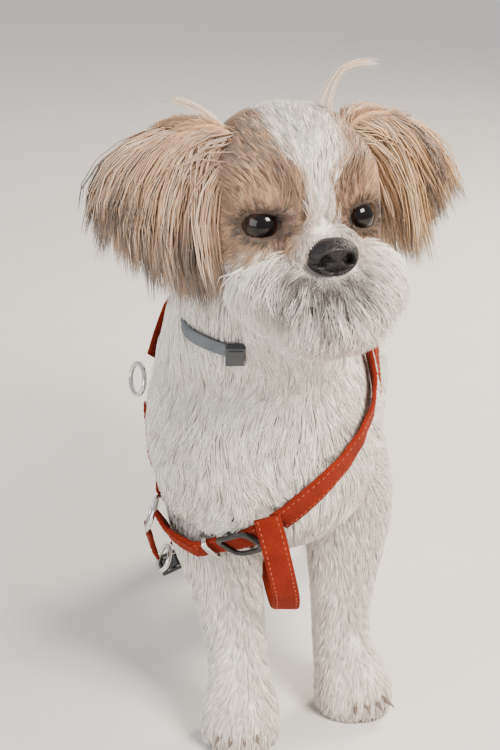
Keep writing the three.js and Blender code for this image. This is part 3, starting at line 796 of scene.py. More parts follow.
@dataclass(frozen=True)
class MetalFinish:
    """Bright plated steel with light wear."""

    name: str = "bright_steel"
    colour: Colour = (0.72, 0.71, 0.69)

    def material(self) -> Material:
        """Builds the material.

        Returns:
            The material.
        """
        nodes = Nodes(self.name)
        wear = nodes.noise(420.0, 5.0)
        worn = tuple(0.8 * c for c in self.colour)
        nodes.colour(nodes.ramp(wear, [(0.3, worn), (0.6, self.colour)]))
        nodes.rough(wear, 0.08, 0.26)
        nodes.set(Metallic=1.0)
        nodes.bump(wear, 0.08, 0.0001)
        return nodes.material


@dataclass(frozen=True)
class PlasticFinish:
    """Moulded plastic with a fine grain."""

    name: str
    dark: Colour
    light: Colour
    roughness: float = 0.4
    grain: float = 1400.0

    def material(self) -> Material:
        """Builds the material.

        Returns:
            The material.
        """
        nodes = Nodes(self.name)
        grain = nodes.noise(self.grain, 3.0)
        worn = nodes.noise(90.0, 4.0)
        nodes.colour(nodes.ramp(worn, [(0.3, self.dark), (0.75, self.light)]))
        nodes.rough(worn, self.roughness - 0.1, self.roughness + 0.15)
        nodes.set(Specular_IOR_Level=0.5)
        nodes.bump(grain, 0.3, 0.00012)
        return nodes.material


@dataclass(frozen=True)
class NoseFinish:
    """Moist black nose leather with pebbles."""

    name: str = "nose_leather"

    def material(self) -> Material:
        """Builds the material.

        Returns:
            The material.
        """
        nodes = Nodes(self.name)
        pebble = nodes.add("ShaderNodeTexVoronoi", feature="SMOOTH_F1")
        pebble.inputs["Scale"].default_value = 900.0
        pebble.inputs["Smoothness"].default_value = 0.4
        nodes.link(nodes.add("ShaderNodeTexCoord").outputs["Object"], pebble.inputs["Vector"])
        away = pebble.outputs["Distance"]
        nodes.colour(nodes.ramp(away, [(0.1, (0.012, 0.010, 0.011)), (0.8, (0.003, 0.0025, 0.003))]))
        nodes.rough(away, 0.34, 0.6)
        nodes.set(Specular_IOR_Level=0.3, Coat_Weight=0.08, Coat_Roughness=0.2)
        flip = nodes.add("ShaderNodeMath", operation="SUBTRACT")
        flip.inputs[0].default_value = 1.0
        nodes.link(away, flip.inputs[1])
        nodes.bump(flip.outputs["Value"], 0.75, 0.0006)
        return nodes.material


@dataclass(frozen=True)
class EyeFinish:
    """A dark brown eye: pupil, streaked iris and a clear wet surface."""

    name: str = "eye"

    def material(self) -> Material:
        """Builds the material round the eye's own -Y axis.

        Returns:
            The material.
        """
        nodes = Nodes(self.name)
        coords = nodes.add("ShaderNodeTexCoord").outputs["Object"]
        normal = nodes.add("ShaderNodeVectorMath", operation="NORMALIZE")
        nodes.link(coords, normal.inputs[0])
        facing = nodes.add("ShaderNodeVectorMath", operation="DOT_PRODUCT")
        facing.inputs[1].default_value = (0.0, -1.0, 0.0)
        nodes.link(normal.outputs["Vector"], facing.inputs[0])
        streaks = nodes.noise(14.0, 6.0, normal.outputs["Vector"])
        iris = nodes.ramp(facing.outputs["Value"], [
            (0.40, (0.030, 0.018, 0.013)), (0.55, (0.004, 0.002, 0.002)), (0.66, (0.020, 0.008, 0.004)),
            (0.80, (0.016, 0.007, 0.004)), (0.86, (0.002, 0.001, 0.001)),
        ])
        shade = nodes.ramp(streaks, [(0.3, (0.55, 0.5, 0.45)), (0.7, (1.2, 1.1, 1.0))])
        nodes.colour(nodes.multiplied(iris, shade))
        nodes.rough(streaks, 0.10, 0.16)
        nodes.set(Coat_Weight=0.7, Coat_Roughness=0.02, Coat_IOR=1.34, Specular_IOR_Level=0.15)
        return nodes.material


@dataclass(frozen=True)
class FloorFinish:
    """A pale, plain studio floor."""

    name: str = "studio_floor"
    colour: Colour = (0.72, 0.70, 0.67)

    def material(self) -> Material:
        """Builds the material.

        Returns:
            The material.
        """
        nodes = Nodes(self.name)
        grain = nodes.noise(30.0, 4.0)
        shaded = tuple(0.96 * c for c in self.colour)
        nodes.colour(nodes.ramp(grain, [(0.2, shaded), (0.8, self.colour)]))
        nodes.rough(grain, 0.7, 0.85)
        return nodes.material


@dataclass(frozen=True)
class Markings:
    """The coat's colours and where they lie, for the skin and the hair alike."""

    white: Colour = (0.97, 0.92, 0.86)
    cream: Colour = (0.90, 0.77, 0.65)
    tan: Colour = (0.47, 0.275, 0.165)
    gold: Colour = (0.66, 0.41, 0.20)
    umber: Colour = (0.19, 0.105, 0.070)
    black: Colour = (0.022, 0.018, 0.017)
    slate: Colour = (0.21, 0.185, 0.175)
    peach: Colour = (0.62, 0.42, 0.31)

    def _all(self) -> list[Array]:
        """The colours as rows, from white to peach."""
        return [np.array(colour) for colour in (self.white, self.cream, self.tan, self.gold,
                                                self.umber, self.black, self.slate, self.peach)]

    def head(self, at: Array, luck: Array) -> Array:
        """Colours on the head.

        Args:
            at: points in the head's frame.
            luck: a random number from 0 to 1 for each point.

        Returns:
            Linear colours.
        """
        x, y, z = at.T
        white, cream, tan, gold, umber, black, slate, peach = self._all()
        side = np.abs(x - 1.0)
        colour = np.tile(tan, (len(at), 1))
        colour = mixed(colour, gold, 0.75 * smooth(0.25, 0.9, luck))
        colour = mixed(colour, umber, smooth(0.72, 0.9, luck) * 0.75)
        streak = np.exp(-(((side - 17) / 6) ** 2 + ((z - 17) / 11) ** 2)) * smooth(10, -20, y)
        colour = mixed(colour, umber, np.clip(streak * 1.1, 0, 0.85))
        # The white blaze, the white muzzle and the white under the jaw, with ragged edges
        blaze_half = 5.0 + 9.0 * smooth(8, 44, z)
        jag = (luck - 0.5) * 7
        blaze = smooth(blaze_half + 4, blaze_half - 2, side + jag) * smooth(36, 10, y)
        puff = smooth(-1, -9, z + 0.22 * side + jag * 0.5) * smooth(-14, -27, y + jag)
        puff = np.maximum(puff, smooth(18, 11, side + jag * 0.5) * smooth(4, -4, z) * smooth(-20, -40, y))
        under = smooth(-30, -44, z + jag * 0.5)
        pale = np.maximum(np.maximum(blaze, puff), under * smooth(64, 44, side))
        colour = mixed(colour, white, pale)
        colour = mixed(colour, cream, pale * smooth(0.55, 1.0, luck) * 0.5)
        # Dark lids, darker hair round them and the stain under their inner corners
        for s in (1, -1):
            around = np.hypot((x - s * OPEN_X) / 1.25, (z - EYE_AT[2]) / 0.85)
            front = smooth(-16, -28, y)
            rim = smooth(11.6, 9.0, around + jag * 0.15) * front
            colour = mixed(colour, umber, smooth(17, 10, around + jag) * front * 0.6)
            colour = mixed(colour, black, rim * 0.9)
            tear = np.exp(-(((x - s * 13.5) / 3.2) ** 2 + ((z - 2.5) / 4.5) ** 2)) * front
            colour = mixed(colour, umber, np.clip(1.1 * tear, 0, 0.85))
        # Dark hairs under the nose and the bare lip below them
        beard = np.exp(-(((x + 5) / 16) ** 2 + ((z + 23) / 9.5) ** 2)) * smooth(-44, -54, y)
        colour = mixed(colour, slate, np.clip(1.7 * beard, 0, 1) * smooth(0.1, 0.4, luck) * 0.85)
        colour = mixed(colour, black, np.clip(1.6 * beard, 0, 1) * smooth(0.5, 0.62, luck) * 0.85)
        lip = np.exp(-(((x - 1) / 13) ** 2 + ((z + 47) / 5) ** 2)) * smooth(-40, -52, y)
        return mixed(colour, peach, np.clip(lip, 0, 0.6))

    def body(self, at: Array, luck: Array) -> Array:
        """Colours on the body, legs and tail.

        Args:
            at: points in the dog's frame.
            luck: a random number from 0 to 1 for each point.

        Returns:
            Linear colours.
        """
        x, y, z = at.T
        white, cream, tan, _, umber, *_ = self._all()
        colour = np.tile(white, (len(at), 1))
        colour = mixed(colour, cream, 0.45 * smooth(0.55, 1.0, luck))
        jag = (luck - 0.5) * 14
        saddle = smooth(1.15, 0.75, np.hypot((x + 30) / 48, (y - 78) / 52) + jag * 0.02) * smooth(196, 226, z)
        rump = smooth(1.2, 0.8, np.hypot((x - 6) / 42, (y - 182) / 34) + jag * 0.02) * smooth(176, 214, z)
        nape = smooth(1.2, 0.8, np.hypot((x + 12) / 46, (z - 286) / 40) + jag * 0.02) * smooth(-82, -60, y)
        patch = np.maximum(np.maximum(saddle, rump), nape)
        fawn = mixed(tan + 0 * colour, umber, smooth(0.6, 0.95, luck) * 0.6)
        colour = mixed(colour, fawn, patch)
        warm = smooth(60, 20, z) * 0.35 * smooth(0.2, 0.9, luck)
        return mixed(colour, cream, warm)

    def ear(self, share: Array, luck: Array, sunlit: float) -> Array:
        """Colours along an ear's hair, with painted sunlight on the lit ear.

        Args:
            share: the place along each hair, 0 at its root.
            luck: a random number for each hair's lock.
            sunlit: how much painted sunlight this ear has, which makes it more golden and its dark tips
                fainter.

        Returns:
            Linear colours.
        """
        _, cream, tan, gold, _, black, slate, _ = self._all()
        base = np.tile(tan, (len(share), 1))
        # Painted sunlight: the lit ear is more golden
        base = mixed(base, gold, np.clip(0.35 + sunlit, 0, 1) * smooth(0.2, 0.8, luck))
        base = mixed(base, slate * 1.2, smooth(0.26, 0.1, luck) * 0.65)
        base = mixed(base, cream, smooth(0.84, 0.97, luck) * 0.45)
        # Painted sunlight also makes the lit ear's dark tips fainter
        dark = smooth(0.62, 0.97, share + (0.5 - luck) * 0.3) * smooth(0.8, 0.4, luck) * (1 - 0.6 * sunlit)
        return mixed(base, black * 1.6, np.clip(dark, 0, 0.92))


@dataclass
class Skin:
    """One closed skin over every body form, with its lids, and the places that hair grows from."""

    markings: Markings
    voxel: float = 2.0
    lid: Triple = (8.5, 4.6, 1.9)

    def build(self) -> Piece:
        """Fuses the forms, adds the lids and paints the markings, with painted shade on the skin.

        Returns:
            The skin.
        """
        self._fuse()
        self._sink_sockets()
        self.tree = BVHTree.FromPolygons(self.points.tolist(), self.triangles.tolist())
        self._label()
        points, faces = joined([(self.points, self.triangles), *(self._lid(s) for s in (1, -1))])
        skin = mesh_object("skin", points, faces)
        paint(skin, self._colours(len(points)))
        return skin

    def _fuse(self) -> None:
        """Makes one closed, eased surface of all the forms and toes."""
        surfaces = [loft.surface(72, 56) for loft in BODY_FORMS.values()]
        for loft in HEAD_FORMS.values():
            points, faces = loft.surface(60, 56)
            surfaces.append((FRAMES.from_head(points), faces))
        surfaces += [toe for part, turn in TOES_TURNED.items() for toe in toes(BODY_FORMS[part], turn)]
        rough = mesh_object("skin_forms", *joined(surfaces))
        remesh = rough.modifiers.new("fuse", "REMESH")
        remesh.mode = "VOXEL"
        remesh.voxel_size = self.voxel * MILLIMETRE
        ease = rough.modifiers.new("ease", "SMOOTH")
        ease.factor = 0.5
        ease.iterations = 4
        bpy.context.view_layer.update()
        fused = rough.evaluated_get(bpy.context.evaluated_depsgraph_get()).to_mesh()
        fused.calc_loop_triangles()
        self.points = read_rows(fused.vertices, "co", np.float32) / MILLIMETRE - FRAMES.shift
        self.points[:, 2] = np.maximum(self.points[:, 2], 1.0)
        self.normals = read_rows(fused.vertices, "normal", np.float32).astype(float)
        self.triangles = read_rows(fused.loop_triangles, "vertices", np.int32)
        rough.to_mesh_clear()
        bpy.data.objects.remove(rough)

    def _sink_sockets(self) -> None:
        """Presses the skin in behind the lids."""
        local = FRAMES.to_head(self.points)
        for s in (1, -1):
            aside = s * local[:, 0] - (EYE_AT[0] + 1.2)
            inside = np.hypot(aside / 8.6, (local[:, 2] - EYE_AT[2]) / 5.0)
            floor = EYE_AT[1] - 3.4 + 0.447 * aside
            share = smooth(1.25, 0.95, inside) * (local[:, 1] < floor) * (local[:, 1] < -20)
            local[:, 1] += share * (floor - local[:, 1])
        self.points = FRAMES.from_head(local)

    def _label(self) -> None:
        """Notes which form each vertex and triangle of the skin belongs to."""
        places, labels = [], []
        for part, loft in {**BODY_FORMS, **HEAD_FORMS}.items():
            points, _ = loft.surface(40, 32)
            places.append(FRAMES.from_head(points) if part in HEAD_FORMS else points)
            labels += numbers([part]) * len(points)
        tree = search_tree(np.vstack(places))
        self.vertex_part = np.array([labels[tree.find(p)[1]] for p in self.points])
        self.triangle_part = self.vertex_part[self.triangles[:, 0]]

    def _lid(self, s: int) -> tuple[Array, Array]:
        """The rim of one eye's lids, almond-shaped, as a closed ring.

        Args:
            s: 1 for the left eye and -1 for the right.

        Returns:
            Vertices and triangles.
        """
        wide, high, thick = self.lid
        a, b = hoop_angles(56, 12)
        grow = thick * np.cos(b)
        x = (wide + grow) * np.cos(a)
        z = (high + grow) * np.sin(a) * (1 - 0.16 * np.cos(a) ** 2)
        y = thick * np.sin(b) * 0.9 + 1.2 * np.cos(a) ** 2
        turn = s * 0.42
        c, d = math.cos(turn), math.sin(turn)
        place = np.stack([x * c - y * d, x * d + y * c, z], -1)
        place += np.array([EYE_AT[0] * s + 1.2 * s, EYE_AT[1] - 4.9, EYE_AT[2]])
        return FRAMES.from_head(place), halved(hoop_faces(56, 12))

    def _colours(self, count: int) -> Array:
        """The markings of the skin, with painted shade that makes them a little darker than the hair's, as in
        the shadows between the tufts, and dark lids.

        Args:
            count: how many vertices the skin has with its lids.

        Returns:
            Linear colours.
        """
        luck = np.full(len(self.points), 0.5)
        colours = np.tile(np.array(self.markings.black) * 0.8, (count, 1))
        head = np.isin(self.vertex_part, numbers(HEAD_FORMS))
        on_head = self.markings.head(FRAMES.to_head(self.points), luck)
        on_body = self.markings.body(self.points, luck)
        # Painted shade: the skin is darkened a little, as in the shadows between the tufts
        colours[:len(self.points)] = np.where(head[:, None], on_head, on_body) * 0.95
        return colours

    def roots(self, parts: Sequence[Part], count: int, rng: np.random.Generator,
              weigh: Optional[Callable[[Array], Array]] = None) -> tuple[Array, Array]:
        """Random places on the skin.

        Args:
            parts: the forms that carry the roots.
            count: how many.
            rng: the source of chance.
            weigh: how dense the roots are at given points, where it isn't even.

        Returns:
            The places and the skin's normals there.
        """
        rows = self.triangles[np.isin(self.triangle_part, numbers(parts))]
        corners = self.points[rows]
        first = corners[:, 0]
        area = np.linalg.norm(np.cross(corners[:, 1] - first, corners[:, 2] - first), axis=1)
        if weigh is not None:
            area = area * weigh(corners.mean(1))
        pick = rng.choice(len(rows), count, p=area / area.sum())
        u, v = rng.random((2, count, 1))
        flip = u + v > 1
        u, v = np.where(flip, 1 - u, u), np.where(flip, 1 - v, v)
        c, n = corners[pick], self.normals[rows[pick]]
        place = c[:, 0] * (1 - u - v) + c[:, 1] * u + c[:, 2] * v
        return place, unit(n[:, 0] * (1 - u - v) + n[:, 1] * u + n[:, 2] * v)

    def nearest(self, points: Array) -> tuple[Array, Array]:
        """The nearest places on the skin.

        Args:
            points: what to look from.

        Returns:
            The places and the skin's normals there.
        """
        found, index = np.empty_like(points), np.empty(len(points), int)
        for i, p in enumerate(points.tolist()):
            found[i], _, index[i], _ = self.tree.find_nearest(p)
        return found, unit(self.normals[self.triangles[index]].mean(1))


@dataclass(frozen=True)
class Style:
    """How the tufts of one part lie."""

    length: tuple[float, float]
    width: float
    depth: float
    points: int = 4
    clump: int = 12
    pull: float = 0.45
    wave: float = 0.8
    scatter: float = 0.14
    swirl: float = 0.0
    sunk: float = 1.2


@dataclass
class StrapPath:
    """The dense middle lines of all straps, which tufts keep under."""

    places: Array
    outs: Array
    halves: Array
    near: float = 20.0
    beneath: float = -14.0
    above: float = 9.0

    def __post_init__(self) -> None:
        """Indexes the lines."""
        self.tree = search_tree(self.places)

    def covered(self, points: Array) -> Array:
        """Which points lie under or in a strap.

        Args:
            points: places in the coat.

        Returns:
            True for each point that does.
        """
        result = np.zeros(len(points), bool)
        for i, p in enumerate(points.tolist()):
            _, j, far = self.tree.find(p)
            if far < self.near:
                offset = np.array(p) - self.places[j]
                rise = offset @ self.outs[j]
                aside = offset - self.outs[j] * rise
                result[i] = aside @ aside < self.halves[j] ** 2 and self.beneath < rise < self.above
        return result


def tuft_faces(rings: int) -> Array:
    """The triangles of one closed three-sided tuft, with its root first and its tip last.

    Args:
        rings: how many rings of three vertices it has below the tip.

    Returns:
        Three vertex numbers for each face.
    """
    faces = [(2, 1, 0)]
    for r in range(rings - 1):
        for j in range(3):
            k = (j + 1) % 3
            a, b, c, d = r * 3 + j, r * 3 + k, r * 3 + 3 + k, r * 3 + 3 + j
            faces += [(a, b, c), (a, c, d)]
    last = (rings - 1) * 3
    return np.array(faces + [(last + j, last + (j + 1) % 3, last + 3) for j in range(3)])


class Tufts:
    """Gathers solid tufts and makes them into coat pieces."""

    SECTION = np.array([(0.5, 0.0), (0.0, 0.55), (-0.5, 0.0)])
    LOWEST = 0.4
    PATCH = 0.003

    def __init__(self, name: str, material: Material, slot: Slot, most: int = 190000) -> None:
        """Starts an empty coat.

        Args:
            name: the start of its pieces' names.
            material: the hair's finish.
            slot: the record's slot, handed on to finish.
            most: how many triangles one piece may have.
        """
        self.name, self.material, self.slot, self.most = name, material, slot, most

    def make(self, curves: Array, widths: Array, outs: Array, colours: Array, spots: Array) -> None:
        """Builds the pieces.

        Args:
            curves: points of each tuft, root first, as tufts by points by 3.
            widths: the width at each point but the last.
            outs: the way out from the skin for each tuft.
            colours: a colour for each point of each tuft.
            spots: where each tuft's root lies on the unwrapped skin.
        """
        count, steps, _ = curves.shape
        pieces = math.ceil(count / max(1, self.most // len(tuft_faces(steps - 1))))
        for n, rows in enumerate(np.array_split(np.arange(count), pieces)):
            name = f"{self.name}_{n + 1}" if pieces > 1 else self.name
            self._piece(name, *(values[rows] for values in (curves, widths, outs, colours, spots)))

    def _piece(self, name: str, *own: Array) -> None:
        """Builds one object of closed, tapered, three-sided tufts.

        Args:
            name: the piece's name.
            own: its tufts' curves, widths, outs, colours and spots, as in make.
        """
        curves, widths, outs, colours, spots = own
        count, steps, _ = curves.shape
        rings = steps - 1
        run = unit(np.gradient(curves, axis=1))[:, :rings]
        face = unit(outs[:, None] - run * (run * outs[:, None]).sum(-1, keepdims=True))
        edge = np.cross(face, run)
        ring = (curves[:, :rings, None]
                + edge[:, :, None] * (self.SECTION[:, 0] * widths[..., None])[..., None]
                + face[:, :, None] * (self.SECTION[:, 1] * widths[..., None])[..., None])
        points = np.concatenate([ring.reshape(count, rings * 3, 3), curves[:, -1:]], axis=1)
        points[..., 2] = np.maximum(points[..., 2], self.LOWEST)
        pattern = tuft_faces(rings)
        index = pattern[None] + np.arange(count)[:, None, None] * points.shape[1]
        made = mesh_object(name, points.reshape(-1, 3), index.reshape(-1, 3))
        tints = np.concatenate([np.repeat(colours[:, :rings], 3, axis=1), colours[:, -1:]], axis=1)
        paint(made, tints.reshape(-1, 3))
        self._unwrap(made, spots, pattern, rings)
        finish(made, self.material, self.slot)

    def _unwrap(self, made: Piece, spots: Array, pattern: Array, rings: int) -> None:
        """Lays each tuft on a small patch of its own at its root's place on the skin's unwrap.

        Args:
            made: the piece.
            spots: the roots' places on the unwrap.
            pattern: the triangles of one tuft.
            rings: how many rings a tuft has.
        """
        local = [(j / 3 * self.PATCH, r / rings * self.PATCH) for r in range(rings) for j in range(3)]
        local = np.array(local + [(self.PATCH / 2, self.PATCH)])
        uv = spots[:, None, None] * (1 - self.PATCH) + local[pattern][None]
        layer = made.data.uv_layers.new(name="OFBake")
        layer.data.foreach_set("uv", uv.astype(np.float32).ravel())


def unwrapped(points: Array, axis: int) -> Array:
    """The places of points on a roll round one axis.

    Args:
        points: places on the skin.
        axis: 0, 1 or 2 for x, y or z.

    Returns:
        The places round and along it, each from 0 to 1.
    """
    a, b = (points[:, i] - points[:, i].mean() for i in range(3) if i != axis)
    angle = np.arctan2(a, b)
    far = points[:, axis]
    return np.stack([angle / (2 * np.pi) + 0.5, (far - far.min()) / (np.ptp(far) + 1e-6)], -1)


@dataclass
class Sprouts:
    """Tufts before they grow: the roots, the ways out there, and how each one will lie."""

    root: Array
    out: Array
    long: Array
    bend: Array
    phase: Array
    rise: Array


class Coat:
    """Grows short hair over parts of the skin, along the way it lies there."""

    PRESSED = 1.3

    def __init__(self, skin: Skin, straps: StrapPath, markings: Markings, material: Material) -> None:
        """Keeps what the coat grows on, under and with."""
        self.skin, self.straps, self.markings, self.material = skin, straps, markings, material

    def lie(self, part: Part, at: Array, out: Array) -> Array:
        """The way the hair lies, before it is laid on the skin.

        Args:
            part: the form that the hair grows on.
            at: points on the skin, in the dog's frame.
            out: the skin's normals there.

        Returns:
            One direction for each point.
        """
        if part is Part.TORSO:
            chest = smooth(-60, -95, at[:, 1])[:, None]
            back = np.stack([0 * at[:, 0], np.ones(len(at)), -0.2 - 0.7 * np.abs(out[:, 0])], -1)
            spread = np.stack([out[:, 0] * 0.55, 0 * at[:, 0], -np.ones(len(at))], -1)
            return back * (1 - chest) + spread * chest
        if part is Part.TAIL:
            return np.stack([out[:, 0] * 0.9, np.full(len(at), -0.6), np.full(len(at), -0.5)], -1)
        if part in FACE:
            return self._face(at)
        return np.array([0.0, 0.0, -1.0]) + out * 0.05

    def _face(self, at: Array) -> Array:
        """The lie on the head: out from the bridge, round the eyes and down behind.

        Args:
            at: points on the head, in the dog's frame.

        Returns:
            One direction for each point.
        """
        local = FRAMES.to_head(at)
        x, y, z = local.T
        flow = unit(local - np.array(BRIDGE)) + np.array([0.0, 0.0, -0.2])
        for s in (1, -1):
            aside = np.stack([x - s * EYE_AT[0], 0 * y, z - EYE_AT[2]], -1)
            far = np.linalg.norm(aside, axis=1)
            near = (np.exp(-((far / 17) ** 2)) * smooth(-14, -26, y))[:, None]
            flow = flow * (1 - near) + unit(aside) * 1.6 * near
        behind = smooth(-2, 30, y)[:, None]
        flow = flow * (1 - behind) + np.array([0.0, 0.25, -1.0]) * behind
        return flow @ FRAMES.head.T

    def grow(self, name: str, parts: Sequence[Part], count: int, style: Style, slot: Slot, seed: int,
             weigh: Optional[Callable[[Array], Array]] = None,
             trim: Optional[Callable[[Array], Array]] = None) -> None:
        """Grows one coat.

        Args:
            name: the start of its pieces' names.
            parts: the forms it covers. The first gives the lie.
            count: how many tufts.
            style: how they lie.
            slot: the record's slot.
            seed: the start of the run of chance.
            weigh: how dense the roots are at given points.
            trim: the share of the full length at given points; tufts at 0 are left out.
        """
        rng = np.random.default_rng(seed)
        root, out = self.skin.roots(parts, count, rng, weigh)
        cut = np.ones(count) if trim is None else trim(root)
        keep = (cut > 0.02) & (root[:, 2] > 1.6)
        root, out, cut = root[keep], out[keep], cut[keep]
        count = len(root)
        centres = rng.choice(count, max(2, count // style.clump), replace=False)
        tree = search_tree(root[centres])
        clump = np.array([tree.find(p)[1] for p in root])
        long = rng.uniform(*style.length, count) * cut
        bend = rng.normal(0, style.scatter, len(centres))[clump]
        bend += rng.normal(0, style.scatter * 0.35, count)
        phase = rng.uniform(0, 2 * np.pi, len(centres))[clump]
        rise = style.depth * np.clip(cut, 0.35, 1) * rng.uniform(0.6, 1.0, count)
        curves, normal = self._march(parts[0], style, Sprouts(root, out, long, bend, phase, rise))
        leader = centres[clump]
        shares = np.linspace(0, 1, style.points)
        gather = (style.pull * shares**1.3)[None, :, None]
        curves += (curves[leader] + (root - root[leader])[:, None] * 0.25 - curves) * gather
        if parts[0] in FACE:
            curves = clear_of_eyes(curves)
        luck = rng.random(len(centres))[clump] * 0.65 + rng.random(count) * 0.35
        colours = self._tints(parts[0], root, np.clip(luck, 0, 1), shares, rng)
        profile = np.interp(shares[:-1], (0, 0.3, 0.75, 1), (0.75, 1.0, 0.7, 0.3))
        widths = style.width * profile[None] * rng.uniform(0.75, 1.2, (count, 1))
        widths = widths * np.clip(cut, 0.55, 1)[:, None]
        spots = unwrapped(root, 1 if parts[0] is Part.TORSO else 2)
        Tufts(name, self.material, slot).make(curves, widths, normal, colours, spots)

    def _march(self, part: Part, style: Style, tufts: Sprouts) -> tuple[Array, Array]:
        """Leads tufts over the skin and under the straps, step by step.

        Args:
            part: the form that gives the lie.
            style: how the tufts lie.
            tufts: where they stand and how each one differs.

        Returns:
            The points of each tuft, and the skin's normals under their tips.
        """
        shares = np.linspace(0, 1, style.points)
        height = np.interp(shares, (0, 0.3, 0.7, 1), (0, 0.6, 0.95, 1.0))
        surface, normal = tufts.root.copy(), tufts.out.copy()
        curves = np.empty((len(surface), style.points, 3))
        curves[:, 0] = tufts.root - tufts.out * style.sunk
        covered = np.zeros(len(surface), bool)
        step = tufts.long / (style.points - 1)
        for k in range(1, style.points):
            flow = self.lie(part, surface, normal)
            flow = unit(flow - normal * (flow * normal).sum(1, keepdims=True))
            x, y, z = surface.T
            swirl = style.swirl * (np.sin(x / 11 + z / 17) + np.sin(z / 13 - y / 19 + 1.7))
            flow = unit(flow + np.cross(normal, flow) * (tufts.bend + swirl)[:, None])
            surface, normal = self.skin.nearest(surface + flow * step[:, None])
            full = tufts.rise * height[k]
            under = self.straps.covered(surface + normal * full[:, None])
            covered |= under
            past = np.where(covered, tufts.rise * 0.5, full)
            rising = np.where(under, np.minimum(full, self.PRESSED), past)
            curves[:, k] = surface + normal * rising[:, None]
            sway = style.wave * shares[k] * np.sin(tufts.phase + shares[k] * 5.2)
            curves[:, k] += np.cross(normal, flow) * sway[:, None]
        return curves, normal

    def _tints(self, part: Part, root: Array, luck: Array, shares: Array,
               rng: np.random.Generator) -> Array:
        """The colours of a coat's tufts, with painted shade towards their roots and slightly lighter tips.

        Args:
            part: the form they grow on.
            root: their roots.
            luck: a random number from 0 to 1 for each tuft.
            shares: the places of the points along each tuft.
            rng: the source of chance.

        Returns:
            A linear colour for each point of each tuft.
        """
        if part in HEAD_FORMS:
            colour = self.markings.head(FRAMES.to_head(root), luck)
        else:
            colour = self.markings.body(root, luck)
        tone = (0.93 + 0.13 * rng.random(len(root)))[:, None, None]
        # Painted shade: darker near the roots, deep in the coat, and a little lighter at the tips
        root_shade = np.interp(shares, (0, 0.45, 1), (0.88, 0.98, 1.05))[None, :, None]
        return np.clip(colour[:, None] * tone * root_shade, 0, 1)


def clear_of_eyes(curves: Array) -> Array:
    """Pushes tufts of the face sideways off the open eyes.

    Args:
        curves: points of each tuft, in the dog's frame.

    Returns:
        The points where they lie then.
    """
    local = FRAMES.to_head(curves.reshape(-1, 3))
    for s in (1, -1):
        x, y, z = local.T
        aside = np.stack([x - s * OPEN_X, (z - EYE_AT[2]) * 1.7], -1)
        short = np.where(y < -26, np.maximum(EYE_CLEAR - np.linalg.norm(aside, axis=1), 0), 0)
        push = unit(aside) * short[:, None]
        local[:, 0] += push[:, 0]
        local[:, 2] += push[:, 1] / 1.4
    return FRAMES.from_head(local).reshape(curves.shape)


@dataclass(frozen=True)
class Fan:
    """Four lines that an ear's locks bend through, as x and z of the head's frame.

    Each line runs from the head outwards.
    """

    roots: Sequence[tuple[float, float]]
    shoulders: Sequence[tuple[float, float]]
    sides: Sequence[tuple[float, float]]
    tips: Sequence[tuple[float, float]]

    def through(self, u: Array) -> list[Array]:
        """The four points of each lock at shares u of the fan."""
        lines = (self.roots, self.shoulders, self.sides, self.tips)
        return [along_curve(np.array(line, float), u) for line in lines]


# The fans of the right ear and the left ear
FANS = {
    -1: Fan(((-35, 32), (-37, 42), (-41, 49), (-46, 51), (-54, 50)),
            ((-42, 24), (-52, 40), (-62, 48), (-71, 52), (-76, 51)),
            ((-46, -8), (-62, -2), (-79, 5), (-96, 18), (-105, 32)),
            ((-38, -41), (-55, -42), (-74, -34), (-92, -18), (-106, -1))),
    1: Fan(((34, 44), (36, 48), (41, 51), (47, 52), (52, 51)),
           ((48, 38), (57, 44), (63, 48), (69, 49), (72, 48)),
           ((62, 0), (69, 2), (76, 8), (83, 20), (88, 29)),
           ((66, -27), (73, -31), (82, -20), (90, -9), (99, 3))),
}


